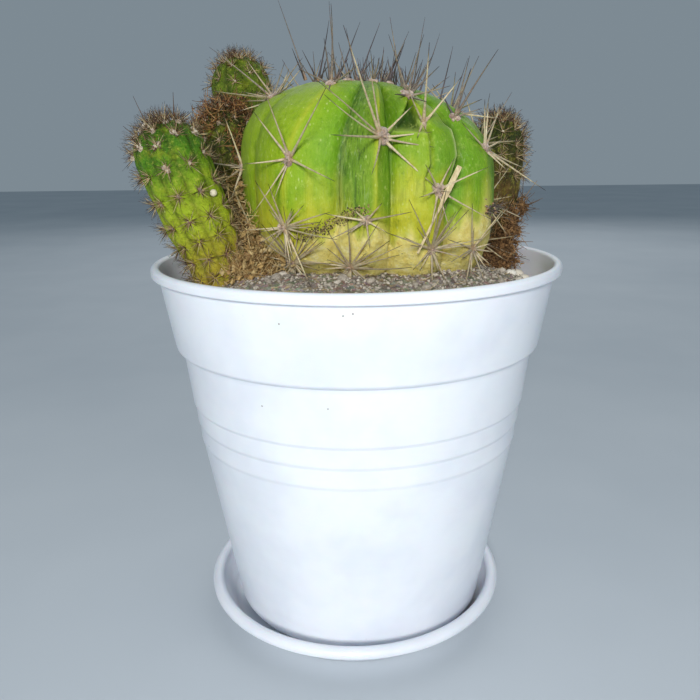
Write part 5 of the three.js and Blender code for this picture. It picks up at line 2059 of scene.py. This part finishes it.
@dataclass(frozen=True)
class Heap:
    """A loose heap of dry bits, by the pixel and the depth of its middle and its spread."""

    pixel: Pair
    depth: float
    spread: Triple
    strands: int
    flakes: int

    def spot(self, random: Random) -> Array:
        """Pick a place in the heap."""
        return VIEW.at_depth(self.pixel, self.depth) + random.normal(0, 0.6, 3) * self.spread


@dataclass(frozen=True)
class DryTissue:
    """Withered offset and the corky strands, fibres and flakes round the plants' feet."""

    offset: Column = Column(
        "withered_offset", "dry_tissue",
        ((-25, -11.5, 96), (-25.5, -12, 103), (-26, -12.4, 107.5)),
        (2.8, 3.8, 3.3), 2.6, ("7A5024", "8E6230", "9A6E38", "6E4A26"),
        ribs=6, relief=0.8, areole_step=3, spine=2.2, per_areole=3, hairs=2, crest=30, felt=0.5,
        old=1.0, seed=45, rings=40,
    )

    heaps: tuple[Heap, ...] = (
        Heap((256, 262), -17, (6, 3.5, 3), 300, 130),
        Heap((266, 275), -17, (4, 2.5, 1.2), 130, 60),
        Heap((248, 240), -11, (3, 3, 4.5), 200, 60),
        Heap((242, 272), -19, (3.5, 2.5, 2), 200, 80),
        Heap((240, 205), -5, (2, 4, 7), 150, 20),
    )
    dark_heaps: tuple[Heap, ...] = (
        Heap((498, 261), 9, (4, 3, 2), 240, 260),
        Heap((503, 245), 12, (3, 3, 3.5), 260, 220),
        Heap((511, 226), 15, (2, 2.5, 4.5), 260, 160),
        Heap((522, 207), 18, (1, 1.5, 2.2), 90, 50),
    )
    rust: tuple[Heap, ...] = (
        Heap((212, 122), 12, (4.5, 4, 4), 420, 0),
        Heap((232, 108), 14, (5, 4, 2.5), 300, 0),
        Heap((240, 150), 8, (2, 4, 9), 220, 0),
    )
    skin: Finish = ColumnSkin("withered_skin", "5A3A1A")
    felt: Finish = Wool("dry_wool", "B98A58", "5A3418")
    rust_horn: Finish = Spine("rust_horn", "7A4420", "BE9258", "2E180C", "5E341A")
    bark: Finish = Crumbs("bark", ("74522C", "A67E48", "C8A464", "E0C890", "8E6834"), 0.4)
    dark_bark: Finish = Crumbs("dark_bark", ("3A2616", "5C4024", "86603A", "AC8454", "4A321E"), 0.4)

    @staticmethod
    def strands(name: str, heaps: tuple[Heap, ...], lengths: Pair, finish: Finish, slot: str) -> Object:
        """Curl dry strands in heaps."""
        random, copies = np.random.default_rng(51), Copies()
        for heap in heaps:
            for _ in range(heap.strands):
                reach = unit(random.normal(0, 1, 3) + [0, -0.3, 0.25]) * random.uniform(*lengths)
                bend = random.normal(0, 0.25, 3) * lengths[1]
                copies.add_spine(heap.spot(random), reach, 0.12, random.random(), bend)
        return finished(spine_stamp(4, 4, 0.5).stamped(name, copies), finish, slot)

    @staticmethod
    def flakes(name: str, heaps: tuple[Heap, ...], largest: float, finish: Finish) -> Object:
        """Add corky crumbs among the strands."""
        random, copies = np.random.default_rng(52), Copies()
        for heap in heaps:
            for _ in range(heap.flakes):
                size, turn = random.uniform(0.3, 1) * largest, random.uniform(0, FULL_TURN)
                place, outward = heap.spot(random), unit(random.normal(0, 1, 3))
                copies.add_cushion(place, outward, (size, size * 0.35), turn, random.random())
        return finished(crumb_stamp(2, 0.6, 7).stamped(name, copies), finish, "dry_tissue")

    def build(self) -> list[Object]:
        """Build the offset and the heaps.

        Returns:
            Its pieces.
        """
        return [
            *self.offset.build(self.skin, self.felt),
            self.strands("dry_strands", self.heaps, (2, 5.5), self.bark, "dry_tissue"),
            self.strands("dark_strands", self.dark_heaps, (1.5, 4.5), self.dark_bark, "dry_tissue"),
            self.strands("rust_wool", self.rust, (1.5, 4), self.rust_horn, "spines"),
            self.flakes("corky_flakes", self.heaps, 1.1, self.bark),
            self.flakes("dark_flakes", self.dark_heaps, 0.7, self.dark_bark),
        ]


@dataclass(frozen=True)
class Bead:
    """The small pale bead that clings to the front column, by its place in the photograph."""

    pixel: Pair = (213, 193)
    inward: Pair = (200, 193)
    radius: float = 0.95
    finish: Finish = Crumbs("pale_bead", ("B4A888", "CEC4A2", "DCD2B4", "E6DEC6", "C2B696"), 0.05)

    def build(self, surface: BVHTree) -> list[Object]:
        """Press the bead onto the skin."""
        point, normal = VIEW.hit_near(surface, self.pixel, self.inward)
        place, size = point + normal * 0.3 * self.radius, (self.radius, self.radius * 0.9)
        copies = Copies()
        copies.add_cushion(place, normal, size, 0.0, 0.5)
        return [finished(crumb_stamp(4, 0.05, 5).stamped("pale_bead", copies), self.finish, "soil")]


# ---- studio


@dataclass(frozen=True)
class Lamp:
    """A round lamp: its place and size in metres and its power."""

    place: Triple
    size: float
    power: float


class Light(Enum):
    """The lights."""

    KEY = Lamp((-0.04, -0.6, 0.3), 0.14, 3.3)
    FILL = Lamp((0.5, -0.4, 0.5), 0.6, 0.3)
    BACK = Lamp((0.1, 0.8, 0.8), 1.4, 3.4)


@dataclass(frozen=True)
class Studio:
    """A plain pale floor and soft light. Its sizes are in metres."""

    floor_size: float = 6.0
    floor_tones: Stops = ((0.3, "C0C7CD"), (0.7, "C9CFD4"))
    aim: Triple = (0, 0, 0.09)
    world: str = "ACBDC9"
    world_strength: float = 0.5

    def floor(self) -> None:
        """Lay the floor."""
        bpy.ops.object.select_all(action="DESELECT")
        bpy.ops.mesh.primitive_plane_add(size=self.floor_size)
        piece = added("floor")
        tree = Tree("pale_floor")
        tone = tree.ramp(tree.noise(tree.place(), 6, 3), *self.floor_tones)
        piece.data.materials.append(tree.done(tone, 1.0, Specular_IOR_Level=0.0))

    def lights(self) -> None:
        """Hang the lights and light the world."""
        for light in Light:
            data = bpy.data.lights.new(light.name.lower(), "AREA")
            data.shape = "DISK"
            data.size, data.energy = light.value.size, light.value.power
            lamp = bpy.data.objects.new(light.name.lower(), data)
            lamp.location = light.value.place
            sight = Vector(self.aim) - lamp.location
            lamp.rotation_euler = sight.to_track_quat("-Z", "Y").to_euler()
            bpy.context.scene.collection.objects.link(lamp)
        world = bpy.data.worlds.new("world")
        world.use_nodes = True
        background = world.node_tree.nodes["Background"]
        background.inputs["Color"].default_value = linear(self.world)
        background.inputs["Strength"].default_value = self.world_strength
        bpy.context.scene.world = world

    def build(self) -> None:
        """Set the studio up."""
        self.floor()
        self.lights()
        bpy.context.scene.view_settings.view_transform = "Standard"


# ---- assembly


def reported(pieces: list[Object]) -> list[Object]:
    """Report each piece."""
    for piece in pieces:
        LOG.info("%s has %d faces", piece.name, len(piece.data.polygons))
    return pieces


def main() -> None:
    """Build the studio and every piece, in order from the table up."""
    logging.basicConfig(level=logging.INFO, format="%(name)s: %(message)s")
    VIEW.add_camera()
    Studio().build()
    reported(Saucer().build())
    reported(Pot().build())
    reported(Soil().build())
    globe = reported(Globe().build())[0]
    felt = Wool("column_wool", "E0D6B8", "7E4826")
    bodies = [
        reported(column.build(ColumnSkin(f"{column.name}_skin"), felt))[0]
        for column in COLUMNS
    ]
    reported(DryTissue().build())
    reported(Bead().build(tree_of(bodies[0])))
    reported(DryBlade().build(tree_of(globe)))


if __name__ == "__main__":
    main()
